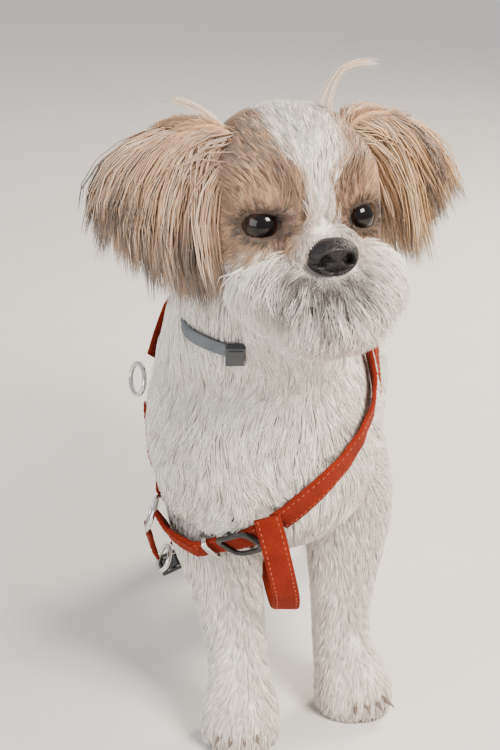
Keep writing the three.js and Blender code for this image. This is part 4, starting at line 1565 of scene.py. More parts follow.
@dataclass
class EarHair:
    """The long hair that hangs from one ear as a fan of locks."""

    side: int
    skin: Skin
    markings: Markings
    material: Material
    locks: int
    sunlit: float
    seed: int
    hairs: int = 27
    points: int = 6

    def build(self) -> None:
        """Builds the fan."""
        rng = np.random.default_rng(self.seed)
        shares = np.linspace(0, 1, self.points)
        u, layer = rng.random(self.locks), rng.random(self.locks)
        curves = self._hairs(self._locks(u, layer, shares, rng), shares, rng)
        count = len(curves)
        snapped, out = self.skin.nearest(curves[:, 0])
        moved = (snapped - out * 1.2 - curves[:, 0])[:, None]
        curves += moved * np.interp(shares, (0, 0.5), (1, 0))[None, :, None]
        luck = np.repeat(rng.random(self.locks), self.hairs) + rng.normal(0, 0.08, count)
        colours = self._tints(np.clip(luck, 0, 1), layer, shares, rng)
        front = np.array([[self.side * 0.3, -1.0, 0.1]])
        front = FRAMES.from_head(front) - FRAMES.from_head(np.zeros((1, 3)))
        outs = np.tile(unit(front), (count, 1))
        profile = np.interp(shares[:-1], (0, 0.3, 0.8), (0.9, 1.0, 0.7))
        widths = 0.66 * profile[None] * rng.uniform(0.7, 1.25, (count, 1))
        spots = np.stack([np.repeat(u, self.hairs), rng.random(count)], -1)
        name = "coat_ear_left" if self.side > 0 else "coat_ear_right"
        Tufts(name, self.material, Slot.TAN).make(curves, widths, outs, colours, spots)

    def _locks(self, u: Array, layer: Array, shares: Array, rng: np.random.Generator) -> Array:
        """The middle lines of the locks.

        Args:
            u: each lock's place in the fan, from 0 at the head to 1.
            layer: how far back each lock hangs, from 0 to 1.
            shares: the places of the points along a lock.
            rng: the source of chance.

        Returns:
            Points of each lock in the head's frame.
        """
        deep = [-15 + 35 * layer, -16 + 39 * layer, -15 + 42 * layer, -14 + 38 * layer]
        bends = zip(FANS[self.side].through(u), deep)
        line = [np.stack([flat[:, 0], y, flat[:, 1]], -1) for flat, y in bends]
        inward = (layer * rng.random(self.locks))[:, None] * np.array([-self.side * 9.0, 0, -5.0])
        line[1], line[2] = line[1] + inward, line[2] + inward * 1.3
        line[3] = line[3] + rng.normal(0, 1, (self.locks, 3)) * np.array([3.0, 2.5, 3.5]) + inward
        reach = 1 - 0.35 * rng.random(self.locks)[:, None] ** 2
        line[3] = line[2] + (line[3] - line[2]) * reach
        t = shares[None, :, None]
        p0, p1, p2, p3 = (row[:, None] for row in line)
        centre = p0 * (1 - t) ** 3 + 3 * p1 * t * (1 - t) ** 2 + 3 * p2 * t**2 * (1 - t) + p3 * t**3
        size = rng.uniform(0.4, 2.0, self.locks)[:, None]
        wave = size * np.sin(shares[None] * 8.5 + rng.uniform(0, 6.28, self.locks)[:, None])
        centre[..., 0] += wave * shares[None]
        centre[..., 1] += 0.6 * np.roll(wave, 1, axis=0) * shares[None]
        return centre

    def _hairs(self, centre: Array, shares: Array, rng: np.random.Generator) -> Array:
        """The hairs round the locks' middle lines.

        Args:
            centre: points of each lock in the head's frame.
            shares: the places of the points along a lock.
            rng: the source of chance.

        Returns:
            Points of each hair in the dog's frame.
        """
        each = (self.locks, self.hairs, 1)
        spread = rng.normal(0, 1, (*each, 3)) * np.array([3.4, 2.4, 2.4])
        narrow = np.interp(shares, (0, 0.3, 0.8, 1), (1.9, 1.0, 0.55, 0.35))[None, None, :, None]
        curves = centre[:, None] + spread * narrow
        curves += rng.normal(0, 0.4, (*each, 3)) * shares[None, None, :, None] ** 2 * 2.5
        last = 1 - 0.25 * rng.random((*each, 1)) ** 2
        root = curves[:, :, :1]
        curves = root + (curves - root) * (1 + (last - 1) * shares[None, None, :, None])
        return FRAMES.from_head(curves.reshape(-1, 3)).reshape(-1, self.points, 3)

    def _tints(self, luck: Array, layer: Array, shares: Array, rng: np.random.Generator) -> Array:
        """The colours of the ear's hairs, with painted shade on the layers behind and towards the roots.

        Args:
            luck: a random number from 0 to 1 for each hair.
            layer: how far back each lock hangs, from 0 to 1.
            shares: the places of the points along a hair.
            rng: the source of chance.

        Returns:
            A linear colour for each point of each hair.
        """
        count = len(luck)
        flat = self.markings.ear(np.tile(shares, count), np.repeat(luck, self.points), self.sunlit)
        # Painted shade: locks that hang further back are darker
        depth = 0.72 + 0.28 * np.repeat(smooth(0.9, 0.3, layer), self.hairs)
        # Painted shade towards the roots, and a little lighter at the tips
        root_shade = np.interp(shares, (0, 0.3, 1), (0.85, 1.0, 1.05))[None, :, None]
        colours = flat.reshape(count, self.points, 3) * root_shade * depth[:, None, None]
        return np.clip(colours * rng.uniform(0.88, 1.1, (count, 1, 1)), 0, 1)


@dataclass
class Wisps:
    """The two long strands that blow up from the crown."""

    skin: Skin
    markings: Markings
    material: Material
    paths: Sequence[Sequence[Triple]] = (
        ((18, -8, 46), (24, -4, 64), (36, 0, 76), (55, 4, 76)),
        ((-34, -4, 40), (-40, -2, 54), (-50, 0, 62), (-62, 2, 66)),
    )

    hairs: int = 34
    points: int = 6
    seed: int = 83

    def build(self) -> None:
        """Builds both strands as one piece."""
        rng = np.random.default_rng(self.seed)
        shares = np.linspace(0, 1, self.points)
        loose = np.interp(shares, (0, 0.5, 1), (1.0, 0.4, 0.75))[None, :, None]
        rows = []
        for path in self.paths:
            spread = rng.normal(0, 1, (self.hairs, 1, 3)) * np.array([3.2, 2.4, 1.8])
            rows.append(along_curve(np.array(path, float), shares)[None] + spread * loose)
        curves = FRAMES.from_head(np.concatenate(rows).reshape(-1, 3)).reshape(-1, self.points, 3)
        snapped, out = self.skin.nearest(curves[:, 0])
        curves[:, 0] = snapped - out
        count = len(curves)
        gold, cream = np.array(self.markings.gold), np.array(self.markings.cream)
        base = mixed(np.tile(gold, (count, 1)), cream, rng.random(count))
        colours = np.repeat(base[:, None], self.points, axis=1)
        taper = np.linspace(1, 0.6, self.points - 1)
        widths = 0.32 * taper[None] * rng.uniform(0.7, 1.2, (count, 1))
        outs = np.tile(unit(np.array([[0.0, -1.0, 0.2]])), (count, 1))
        spots = np.stack([rng.random(count), rng.random(count)], -1)
        Tufts("coat_wisps", self.material, Slot.TAN).make(curves, widths, outs, colours, spots)


@dataclass
class Line:
    """The middle line of a strap's inner face, with the vectors along it.

    The path holds its places, and way the ways out of the coat there.
    """

    path: Array
    way: Array

    def __post_init__(self) -> None:
        """Works out the line's own run, face and edge, and how far along it each place is."""
        self.run = unit(np.gradient(self.path, axis=0))
        self.face = unit(self.way - self.run * (self.run * self.way).sum(1, keepdims=True))
        self.edge = np.cross(self.face, self.run)
        steps = np.linalg.norm(np.diff(self.path, axis=0), axis=1)
        self.far = np.concatenate([[0], np.cumsum(steps)])


@dataclass(frozen=True)
class Seat:
    """A fitting's place: its strap, the share of the way along it, and the lift above its face."""

    strap: str
    share: float
    lift: float


@dataclass
class Harness:
    """The webbing harness: its straps, draped on the coat, and its metal and plastic fittings."""

    skin: Skin
    wide: float = 15.0
    thick: float = 2.2
    wire: float = 1.4
    stitch: float = 3.4
    least: float = 2.6
    lines: dict[str, Line] = field(default_factory=dict)

    def __post_init__(self) -> None:
        """Drapes the straps."""
        shells = [BODY_FORMS[Part.TORSO].surface(19, 18, TORSO_CORE),
                  BODY_FORMS[Part.NECK].surface(9, 18, NECK_CORE)]
        for part in (Part.FRONT_RIGHT, Part.FRONT_LEFT, Part.HIND_RIGHT, Part.HIND_LEFT):
            shells.append(BODY_FORMS[part].surface(13, 10, LEG_CORE))
        points, faces = joined(shells)
        self.body = BVHTree.FromPolygons(points.tolist(), faces.tolist())
        middle = [(-12, -84, 262), (-13, -52, 205), (-13, -30, 172), (-11, 20, 172), (-6, 90, 178)]
        self.middle = along_curve(np.array(middle, float), np.linspace(0, 1, 61))
        for name, (steps, points) in self._points().items():
            self.lines[name] = self._line(points, steps)

    def _points(self) -> dict[str, tuple[int, list[tuple]]]:
        """The points each strap runs through.

        A point with a number lies that far above the coat's core. A point with a vector is free,
        and the vector is its way out.

        Returns:
            For each strap, how many spans its line has, and its points.
        """
        return {
            "harness_neck_strap": (56, [(p, 1.0) for p in (
                (-8, -114, 141), (9.5, -115, 159), (25, -110, 175), (36, -98, 189), (45, -76, 202),
                (45, -50, 220), (30, -22, 243), (-2, -6, 256), (-36, -8, 246), (-62, -14, 222),
                (-76, -20, 202))]),
            "harness_shoulder_strap": (18, [(p, 1.0) for p in (
                (-78, -26, 176), (-79, -38, 156), (-79, -50, 138), (-78, -58, 129))]),
            "harness_chest_strap": (32, [
                ((-16, -110, 133), 1.0), ((-29, -100, 124), 1.0), ((-44, -88, 117), 1.0),
                ((-58, -84, 116), 1.0), ((-70, -76, 118), 1.0), ((-77, -66, 120), 2.0)]),
            "harness_chest_overlap": (20, [
                ((-46, -88, 118), 4.6), ((-58, -84, 118), 4.6), ((-70, -76, 120), 4.8),
                ((-77, -66, 121), 5.6)]),
            "harness_belly_strap": (52, [
                ((-14, -119, 145), (-0.05, -1, -0.1)), ((-10, -121, 130), (0, -1, 0)),
                ((-6, -118, 110), (0.1, -1, 0.1)), ((-3, -109, 92), (0.1, -1, -0.2)),
                ((-3, -96, 80), (0, -0.6, -0.8)), ((-5, -78, 75), (0, -0.1, -1)),
                ((-9, -52, 80), (0, 0.3, -1)), ((-12, -22, 89), (0, 0.3, -1))]),
            "harness_side_strap": (10, [
                ((-81, -62, 113), (-1, -0.3, 0)), ((-80, -59, 103), (-1, -0.3, 0)),
                ((-77, -55, 96), (-1, -0.3, 0))]),
            "harness_girth_strap": (60, [((-66, -34, 86), (-0.8, -0.1, -0.6))] + [(p, 1.0) for p in (
                (-48, -16, 106), (-14, -10, 102), (22, -10, 108), (48, -6, 140), (52, 2, 190),
                (34, 10, 232), (-4, 12, 250), (-40, 8, 238), (-66, -2, 214))]),
        }

    def _draped(self, at: Array, lift: float) -> tuple[Array, Array]:
        """A point set on the coat's core.

        Args:
            at: a place near it.
            lift: how far above the core it lies.

        Returns:
            The point and the way out there.
        """
        inner = self.middle[((self.middle - at) ** 2).sum(1).argmin()]
        out = unit(at - inner)
        hit, _, _, _ = self.body.ray_cast(Vector(inner + out * 260), Vector(-out))
        return np.array(hit) + out * lift, out

    def _line(self, points: list[tuple], steps: int) -> Line:
        """A strap's middle line, draped, eased and clear of the skin.

        Args:
            points: the strap's points.
            steps: how many spans the line has.

        Returns:
            The line on the strap's inner face.
        """
        placed, outs, lifts = [], [], []
        for at, how in points:
            free = isinstance(how, tuple)
            at = np.array(at, float)
            where, out = (at, unit(np.array(how, float))) if free else self._draped(at, how)
            placed.append(where)
            outs.append(out)
            lifts.append(None if free else how)
        shares = np.linspace(0, 1, steps + 1)
        path = along_curve(np.array(placed), shares)
        way = unit(along_curve(np.array(outs), shares))
        spans = len(points) - 1
        for i, u in enumerate(shares):
            span = min(spans - 1, int(u * spans))
            ends = lifts[span], lifts[span + 1]
            if None not in ends:
                part = u * spans - span
                path[i], _ = self._draped(path[i], ends[0] + (ends[1] - ends[0]) * part)
        for _ in range(3):
            before, after = np.vstack([path[:1], path[:-1]]), np.vstack([path[1:], path[-1:]])
            raised = np.maximum((((before + after) / 2 - path) * way).sum(1), 0)
            path = path + way * (raised * 0.6)[:, None]
        edge = Line(path, way).edge
        for aside in (-6.5, 0.0, 6.5):
            at, normal = self.skin.nearest(path + edge * aside)
            height = ((path + edge * aside - at) * normal).sum(1)
            lack = np.where(height > -12, np.maximum(self.least - height, 0), 0)
            lack = np.convolve(np.pad(lack, 2, "edge"), np.ones(5) / 5, "valid")
            path = path + way * lack[:, None]
        return Line(path, way)

    def paths(self, collar: "Collar") -> StrapPath:
        """All strap lines and the shown part of the collar together, for the coat.

        Args:
            collar: the collar.

        Returns:
            The lines that tufts keep under.
        """
        places = np.vstack([line.path for line in self.lines.values()])
        outs = np.vstack([line.way for line in self.lines.values()])
        band, face = collar.line()
        shown = collar.shown(band)
        halves = np.concatenate([np.full(len(places), self.wide / 2 + 0.5),
                                 np.full(shown.sum(), collar.wide / 2 + 0.9)])
        return StrapPath(np.vstack([places, band[shown]]), np.vstack([outs, face[shown]]), halves)

    def _section(self) -> Array:
        """The strap's cross-section, with rounded edges and a low crown.

        Returns:
            Its corners, across and out.
        """
        half, thick, soft = self.wide / 2, self.thick, 0.7
        return np.array([
            (-half + soft, 0), (half - soft, 0), (half, soft * 0.8), (half, thick - soft * 0.6),
            (half - soft, thick), (half * 0.45, thick + 0.12), (0, thick + 0.16),
            (-half * 0.45, thick + 0.12), (-half + soft, thick), (-half, thick - soft * 0.6),
            (-half, soft * 0.8)])

    def strap(self, name: str) -> tuple[Piece, Piece]:
        """Builds one strap and its two rows of stitches.

        Args:
            name: the node that it replaces.

        Returns:
            The strap and its stitches.
        """
        line, section = self.lines[name], self._section()
        points = (line.path[:, None] + line.edge[:, None] * section[None, :, :1]
                  + line.face[:, None] * section[None, :, 1:])
        rings, sides = len(line.path), len(section)
        ends = [[0, sides - 1, sides - 2, 1]]
        ends += [[n, sides - n, sides - n - 1, n + 1] for n in range(1, 5)]
        ends = np.array([corners for corners in ends if len(set(corners)) == 4])
        last = (rings - 1) * sides
        faces = np.vstack([tube_faces(rings, sides), ends, ends[:, ::-1] + last])
        made = mesh_object(name.replace("harness_", "webbing_"), points.reshape(-1, 3), faces)
        across, along = np.meshgrid(section[:, 0] / 10, line.far / 10)
        grid = np.stack([across, along], -1).reshape(-1, 2)
        layer = made.data.uv_layers.new(name="Weave")
        layer.data.foreach_set("uv", grid[faces.ravel()].astype(np.float32).ravel())
        return made, self._stitches(name, line)

    def _stitches(self, name: str, line: Line) -> Piece:
        """Short stitches along both edges of a strap.

        Args:
            name: the strap's node.
            line: the strap's line.

        Returns:
            The stitches as one piece.
        """
        whole = line.far[-1]
        count = max(2, int(whole / self.stitch))
        where = (np.arange(count) + 0.5) / count * whole
        at = np.stack([np.interp(where, line.far, line.path[:, i]) for i in range(3)], -1)
        pick = np.clip(np.searchsorted(line.far, where), 0, len(line.path) - 1)
        run, face, edge = line.run[pick], line.face[pick], line.edge[pick]
        shape, faces = ball(6, 5)
        shape = shape * np.array([0.42, 1.15, 0.38])
        parts = []
        for side in (-1, 1):
            middle = at + edge * (side * (self.wide / 2 - 2.1)) + face * (self.thick + 0.05)
            for m, axes in zip(middle, np.stack([edge, run, face], 1)):
                parts.append((m + shape @ axes, faces))
        return mesh_object(name.replace("harness_", "stitches_"), *joined(parts))

    def _fitting(self, name: str, points: Array, faces: Array) -> Piece:
        """A fitting's mesh, named after the node that it replaces."""
        return mesh_object(name.replace("harness_", "fitting_"), points, faces)

    def ring(self, name: str, at: Triple, turn: Triple, wide: float, high: float) -> Piece:
        """A wire ring.

        Args:
            name: the node that it replaces.
            at: its middle.
            turn: its turn as Euler angles.
            wide: its width between the wire's middles.
            high: its height between the wire's middles.

        Returns:
            The ring.
        """
        a, b = hoop_angles(72, 16)
        out = self.wire * np.cos(b)
        flat = np.stack([np.cos(a) * (wide / 2 + out), np.sin(a) * (high / 2 + out),
                         self.wire * np.sin(b)], -1)
        return self._fitting(name, turned(flat, at, turn), hoop_faces(72, 16))

    def buckle(self, name: str, at: Triple, turn: Triple, size: Triple,
               bars: Sequence[tuple[float, float, float, float]]) -> Piece:
        """A moulded buckle made of rounded bars.

        Args:
            name: the node that it replaces.
            at: its middle.
            turn: its turn as Euler angles.
            size: its full width, height and thickness.
            bars: each bar's middle and size as shares of the width and height.

        Returns:
            The buckle.
        """
        wide, high, thick = size
        parts = []
        for x, y, w, h in bars:
            radius = min(w * wide, h * high, thick) * 0.32
            shape, faces = rounded_box(w * wide, h * high, thick, radius)
            parts.append((shape + np.array([x * wide, y * high, 0.0]), faces))
        points, faces = joined(parts)
        return self._fitting(name, turned(points, at, turn), faces)

    def _seated(self, points: Array, seat: Seat) -> Array:
        """Points set on a strap: x along it, y across it and z out from its face.

        Args:
            points: the fitting's own points.
            seat: where it sits.

        Returns:
            The points in the dog's frame.
        """
        line = self.lines[seat.strap]
        i = int(seat.share * (len(line.path) - 1))
        axes = np.stack([line.run[i], line.edge[i], line.face[i]])
        return points @ axes + line.path[i] + line.face[i] * (self.thick + seat.lift)

    def keeper(self, name: str, seat: Seat) -> Piece:
        """A flat metal loop round a strap.

        Args:
            name: the node that it replaces.
            seat: where it sits.

        Returns:
            The loop.
        """
        a, b = hoop_angles(64, 12)
        reach, wide, deep = squared(a, 5), self.wide / 2 + 1.4, 2.7
        y = np.cos(a) * (reach * wide + self.wire * 0.8 * np.cos(b))
        z = np.sin(a) * (reach * deep + self.wire * 0.8 * np.cos(b))
        points = np.stack([np.sin(b) * self.wire * 1.3, y, z], -1)
        return self._fitting(name, self._seated(points, seat), hoop_faces(64, 12))

    def frame(self, name: str, seat: Seat, wide: float, high: float) -> Piece:
        """A moulded slider: a rounded frame over a strap's face, with its bar under the webbing.

        Args:
            name: the node that it replaces.
            seat: where it sits.
            wide: its size along the strap.
            high: its size across the strap.

        Returns:
            The slider.
        """
        a, b = hoop_angles(72, 12)
        reach, bar = squared(a, 4), 1.9
        x = np.cos(a) * (reach * (wide / 2 - bar) + bar * np.cos(b))
        y = np.sin(a) * (reach * (high / 2 - bar) + bar * np.cos(b))
        sag = 0.007 * x**2
        rim = np.stack([x, y, 1.4 * np.sin(b) - sag], -1), halved(hoop_faces(72, 12))
        middle, middle_faces = rounded_box(3.2, high - 2.0, 2.2, 0.9)
        points, faces = joined([rim, (middle + np.array([0.0, 0.0, -3.2]), middle_faces)])
        return self._fitting(name, self._seated(points, seat), faces)

    def build(self) -> None:
        """Builds the whole harness."""
        webbing = WebbingFinish().material()
        thread = PlasticFinish("stitch_thread", (0.23, 0.03, 0.012), (0.42, 0.07, 0.03), 0.75).material()
        steel = MetalFinish().material()
        black = PlasticFinish("black_plastic", (0.004, 0.004, 0.0045), (0.010, 0.010, 0.011), 0.35).material()
        for name in self.lines:
            strap, stitches = self.strap(name)
            finish(strap, webbing, Slot.WEBBING, name)
            finish(stitches, thread, Slot.WEBBING)
        rings = (
            ("harness_side_ring", (-80, -62, 122), (0, -1.25, 0), 20, 20),
            ("harness_back_ring", (-89, -22, 190), (0.35, -1.3, 0), 17, 24),
            ("harness_low_ring", (-74, -50, 88), (0.3, -1.15, 0), 15, 15),
        )
        for ring in rings:
            finish(self.ring(*ring), steel, Slot.STEEL, ring[0])
        name, strap = "harness_chest_keeper", "harness_chest_strap"
        finish(self.keeper(name, Seat(strap, 0.43, 0.4)), steel, Slot.STEEL, name)
        name = "harness_chest_slider"
        finish(self.frame(name, Seat(strap, 0.2, 1.6), 26.0, 22.5), black, Slot.BLACK, name)
        name = "harness_side_buckle"
        bars = ((0, 0.42, 1.0, 0.16), (0, -0.42, 1.0, 0.16), (-0.44, 0, 0.12, 1.0),
                (0.44, 0, 0.12, 1.0), (0, 0, 0.16, 0.9), (0, 0, 0.7, 0.6))
        side = self.buckle(name, (-70, -40, 81), (1.4, -0.6, -0.6), (18, 12, 4), bars)
        finish(side, black, Slot.BLACK, name)


@dataclass
class Collar:
    """A ribbed plastic collar deep in the neck's coat, with its box."""

    wide: float = 9.0
    thick: float = 2.4
    turns: int = 96
    ribs: int = 4

    def line(self) -> tuple[Array, Array]:
        """The middle of the band's inner face all round the neck, deeper where hair covers it.

        Returns:
            The places and the ways out there.
        """
        neck = BODY_FORMS[Part.NECK]
        a = np.arange(self.turns) / self.turns * 2 * np.pi
        t = 0.5 + 0.1 * np.sin(a)
        centre, along, _, _ = neck.frame(t)
        at = neck.point(t, a, NECK_CORE - 0.6)
        out = at - centre
        out = unit(out - along * (out * along).sum(1, keepdims=True))
        seen = smooth(-24, -34, at[:, 0]) * smooth(-64, -55, at[:, 0])
        sunk = 3.2 * smooth(-50, -75, at[:, 1]) * (1 - seen)
        return at - out * sunk[:, None], out

    def shown(self, band: Array) -> Array:
        """True for each of the band's places that no hair covers."""
        return (band[:, 0] < -30) & (band[:, 0] > -57) & (band[:, 1] < -84)

    def _section(self) -> Array:
        """The band's cross-section, with ribs along its outer face.

        Returns:
            Its corners, across and out.
        """
        across = np.linspace(-0.5, 0.5, 17)
        rib = 0.45 * (0.5 + 0.5 * np.cos(across * 2 * np.pi * self.ribs + np.pi))
        top = np.stack([across * self.wide, self.thick - rib - 1.2 * np.abs(2 * across) ** 8], -1)
        return np.vstack([[(-self.wide / 2, 0.2), (self.wide / 2, 0.2)], top[::-1]])

    def build(self) -> None:
        """Builds the band and the box."""
        at, out = self.line()
        run = unit(np.roll(at, -1, axis=0) - np.roll(at, 1, axis=0))
        face = unit(out - run * (out * run).sum(1, keepdims=True))
        edge = np.cross(face, run)
        section = self._section()
        points = at[:, None] + edge[:, None] * section[None, :, :1] + face[:, None] * section[None, :, 1:]
        faces = tube_faces(self.turns, len(section), closed=True)
        band = mesh_object("collar_band", points.reshape(-1, 3), faces)
        grey = PlasticFinish("collar_plastic", (0.070, 0.080, 0.092), (0.125, 0.138, 0.152), 0.5, 900.0)
        finish(band, grey.material(), Slot.COLLAR, "collar")
        lid, lid_faces = rounded_box(8.0, 10.6, 1.2, 0.4)
        points, faces = joined([rounded_box(11, 14, 5, 1.3), (lid + np.array([0, 0, 2.5]), lid_faces)])
        place = np.array(COLLAR_BOX_AT)
        near = int(np.argmin(np.linalg.norm(at - place, axis=1)))
        axes = np.stack([run[near], edge[near], face[near]])
        box = mesh_object("collar_box", points @ axes + place, faces)
        dark = PlasticFinish("collar_box_plastic", (0.022, 0.024, 0.028), (0.045, 0.049, 0.056), 0.45)
        finish(box, dark.material(), Slot.COLLAR, "collar_buckle")


class Face:
    """The eyes and the nose."""

    def eye(self, s: int) -> Piece:
        """One eyeball with a slight bulge over the iris.

        Args:
            s: 1 for the left eye and -1 for the right.

        Returns:
            The eye.
        """
        shape, faces = ball(64, 40)
        bulge = 1 + 0.05 * smooth(0.72, 0.95, -shape[:, 1])
        gaze = Euler((0.02, 0.0, s * 0.16), "XYZ").to_matrix()
        middle = FRAMES.from_head(np.array([[EYE_AT[0] * s, EYE_AT[1], EYE_AT[2]]]))[0]
        name = "eyeball_left" if s > 0 else "eyeball_right"
        made = mesh_object(name, shape * bulge[:, None] * EYE_RADIUS - FRAMES.shift, faces)
        turn = Matrix(FRAMES.head.tolist()) @ gaze
        made.matrix_world = Matrix.Translation(Vector(FRAMES.to_row(middle))) @ turn.to_4x4()
        return made

    def nose(self) -> Piece:
        """The nose pad, with nostrils that run out into slots and a groove below.

        Returns:
            The nose.
        """
        pad = Loft([
            (0, -70.6, -13.5, 7, 5, 5.5), (0, -69, -13, 11, 7.6, 8.4), (0, -64.5, -12.4, 13.3, 9.4, 9.4),
            (0, -58.5, -12, 12.3, 8.6, 8.4), (0, -54, -11.8, 8, 6, 6),
        ], UP)
        points, faces = pad.surface(90, 120)
        x, y, z = points.T
        front = smooth(-62, -68, y)
        for s in (1, -1):
            hole = np.exp(-(((x - s * 5.6) / 3.0) ** 2 + ((z + 13.4) / 2.7) ** 2) ** 1.8)
            slot = np.exp(-(((x - s * 8.6) / 3.0) ** 2 + ((z + 15.4) / 0.8) ** 2) ** 1.4)
            wing = np.exp(-(((x - s * 8.2) / 2.8) ** 2 + ((z + 12.0) / 2.6) ** 2))
            points[:, 1] += (6.0 * hole + 2.6 * slot - 0.7 * wing) * front
        groove = np.exp(-((x / 0.75) ** 2)) * smooth(-13.5, -17, z)
        points[:, 1] += 1.3 * groove * front
        return mesh_object("nose_pad", FRAMES.from_head(points), faces)

    def build(self) -> None:
        """Builds the eyes and the nose."""
        dark = EyeFinish().material()
        for side, s in SIDES.items():
            finish(self.eye(s), dark, Slot.EYE, f"eye_{side}")
        finish(self.nose(), NoseFinish().material(), Slot.NOSE, "nose")


@dataclass
class Studio:
    """The camera, the soft lights and the floor."""

    camera_at: Triple = (-23.3, -1165.5, 608.7)
    tilt: float = 70.0
    lens: float = 100.0
    reach: float = 9000.0
    sky: Colour = (0.93, 0.94, 0.96)
    sky_strength: float = 0.78

    def build(self) -> None:
        """Builds them all."""
        data = bpy.data.cameras.new("camera")
        data.lens = self.lens
        data.sensor_width = 36.0
        data.clip_end = 50.0
        camera = bpy.data.objects.new("camera", data)
        camera.location = FRAMES.to_row(np.array(self.camera_at))
        camera.rotation_euler = (math.radians(self.tilt), 0.0, 0.0)
        bpy.context.scene.collection.objects.link(camera)
        bpy.context.scene.camera = camera
        self._floor()
        self._light("key", (0.75, -0.95, 1.15), 0.55, 50.0, (1.0, 0.91, 0.80))
        self._light("fill", (-1.1, -0.9, 0.65), 0.9, 13.0, (0.93, 0.96, 1.0))
        self._light("rim", (0.75, 0.95, 0.95), 0.5, 30.0, (1.0, 0.86, 0.70))
        world = bpy.data.worlds.new("studio")
        world.use_nodes = True
        background = world.node_tree.nodes["Background"].inputs
        background["Color"].default_value = (*self.sky, 1)
        background["Strength"].default_value = self.sky_strength
        bpy.context.scene.world = world

    def _light(self, name: str, at: Triple, size: float, power: float, colour: Colour) -> None:
        """A square soft light that faces the dog.

        Args:
            name: the light's name.
            at: its place, in metres.
            size: its side, in metres.
            power: its power, in watts.
            colour: its colour.
        """
        data = bpy.data.lights.new(name, "AREA")
        data.size = size
        data.energy = power
        data.color = colour
        light = bpy.data.objects.new(name, data)
        light.location = at
        light.rotation_mode = "QUATERNION"
        aim = Vector((0.0, -0.05, 0.2)) - Vector(at)
        light.rotation_quaternion = aim.to_track_quat("-Z", "Y")
        bpy.context.scene.collection.objects.link(light)

    def _floor(self) -> None:
        """A wide plain floor."""
        corners = [(x * self.reach, y * self.reach, 0) for x, y in ((-1, -1), (1, -1), (1, 1), (-1, 1))]
        floor = mesh_object("floor", np.array(corners, float), np.array([[0, 1, 2, 3]]), flat=True)
        floor.data.materials.append(FloorFinish().material())


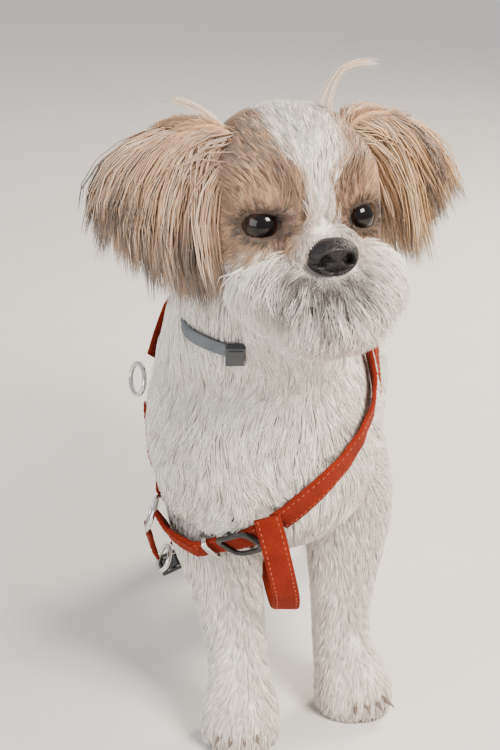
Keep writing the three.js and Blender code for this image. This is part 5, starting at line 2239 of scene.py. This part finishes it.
@dataclass
class ShihTzu:
    """The whole dog: its skin, coat, face, claws, harness and collar."""

    markings: Markings = field(default_factory=Markings)

    def build(self) -> None:
        """Builds every piece in order."""
        skin, collar = Skin(self.markings), Collar()
        shell = skin.build()
        finish(shell, HairFinish("skin_coat", gloss=0.7, sheen=0.0).material(), Slot.WHITE,
               "head", "neck", "torso", "tail", *(f"ear_{side}" for side in SIDES),
               *(f"leg_{end}_{side}" for end in ("front", "hind") for side in SIDES))
        harness = Harness(skin)
        hair = HairFinish("coat_hair").material()
        coat = Coat(skin, harness.paths(collar), self.markings, hair)
        self._body(coat)
        self._head(coat, skin, hair)
        harness.build()
        collar.build()
        Face().build()
        self._claws()

    def _body(self, coat: Coat) -> None:
        """The coat of the torso, neck, legs and tail.

        Args:
            coat: what grows it.
        """
        long = Style((22, 34), 0.54, 5.4, clump=14, pull=0.34, wave=1.5, swirl=0.24)
        coat.grow("coat_torso", [Part.TORSO], 22500, long, Slot.WHITE, 11,
                  weigh=lambda p: 1 + 2.2 * smooth(-30, -90, p[:, 1]))
        bib = Style((21, 33), 0.50, 5.0, clump=14, pull=0.34, wave=1.5, swirl=0.22)
        coat.grow("coat_neck", [Part.NECK], 11500, bib, Slot.WHITE, 23,
                  weigh=lambda p: 0.4 + smooth(-60, -100, p[:, 1]))
        leg = Style((11, 18), 0.48, 3.8, points=3, clump=10, pull=0.2, wave=0.3, swirl=0.12)
        counts = {Part.FRONT_RIGHT: 9000, Part.FRONT_LEFT: 9000, Part.HIND_RIGHT: 6000,
                  Part.HIND_LEFT: 6000}
        for seed, (part, count) in enumerate(counts.items(), 31):
            coat.grow(f"coat_{part.value}", [part], count, leg, Slot.WHITE, seed,
                      trim=lambda p: 1.0 + 0.5 * smooth(26, 10, p[:, 2]))
        plume = Style((34, 55), 0.9, 12.0, points=5, pull=0.45, wave=2.0)
        coat.grow("coat_tail", [Part.TAIL], 3000, plume, Slot.TAN, 47)

    def _head(self, coat: Coat, skin: Skin, hair: Material) -> None:
        """The coat of the head and its ears.

        Args:
            coat: what grows the short hair.
            skin: what the long hair hangs from.
            hair: the hair's finish.
        """
        crown = Style((18, 27), 0.52, 4.6, points=3, clump=14, pull=0.2, wave=0.5)
        coat.grow("coat_crown", [Part.SKULL, Part.EAR_LEFT, Part.EAR_RIGHT], 17000, crown,
                  Slot.TAN, 53, weigh=face_density, trim=face_trim)
        muzzle = Style((15, 30), 0.50, 12.0, clump=9, pull=0.3, wave=1.0, scatter=0.28, swirl=0.12)
        coat.grow("coat_muzzle", [Part.MUZZLE, Part.STOP], 12000, muzzle,
                  Slot.WHITE, 59, weigh=face_density, trim=face_trim)
        # The left ear gets painted sunlight, the right ear none
        EarHair(-1, skin, self.markings, hair, locks=180, sunlit=0.0, seed=61).build()
        EarHair(1, skin, self.markings, hair, locks=150, sunlit=0.75, seed=67).build()
        Wisps(skin, self.markings, hair).build()

    def _claws(self) -> None:
        """The claws keep their solids, with a horn finish."""
        horn = PlasticFinish("claw", (0.10, 0.07, 0.055), (0.20, 0.15, 0.12), 0.35).material()
        for end in ("front", "hind"):
            for side in SIDES:
                for n in range(1, 5):
                    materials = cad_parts[f"claw_{end}_{side}_{n}"].data.materials
                    materials.clear()
                    materials.append(horn)


def face_density(points: Array) -> Array:
    """Denser roots on the face, where the hairs are smallest."""
    return 0.45 + 1.5 * smooth(-5, -40, FRAMES.to_head(points)[:, 1])


def face_trim(points: Array) -> Array:
    """How long a hair of the head grows: short round the eyes and nose, and none on them.

    Args:
        points: the roots, in the dog's frame.

    Returns:
        The share of the full length at each root.
    """
    x, y, z = FRAMES.to_head(points).T
    share = np.ones(len(x))
    for s in (1, -1):
        around = np.hypot((x - s * OPEN_X) / 1.25, (z - EYE_AT[2]) / 0.78)
        near = np.where(y < -22, around, 99.0)
        share = np.minimum(share, 0.26 + 0.74 * smooth(8, 25, near))
        share = np.where(near < EYE_BARE, 0.0, share)
    bridge = np.hypot(x / 1.2, z + 4) + np.maximum(y + 46, 0)
    share = np.minimum(share, 0.5 + 0.5 * smooth(6, 28, bridge))
    pad = np.hypot(x / 13.6, (z + 12.6) / 9.6)
    share = np.where((pad < 1.0) & (y < -50), 0.0, share)
    jowl = smooth(-16, -38, z) * smooth(12, 28, np.abs(x - 1))
    share = np.minimum(share, 1 - 0.5 * jowl)
    return np.minimum(share, np.where(y < -50, 0.36 + 0.64 * smooth(1.0, 2.3, pad), 1.0))


def main() -> None:
    """Builds the studio and the dog."""
    logging.basicConfig(level=logging.INFO, format="%(name)s %(message)s")
    Studio().build()
    ShihTzu().build()


if __name__ == "__main__":
    main()
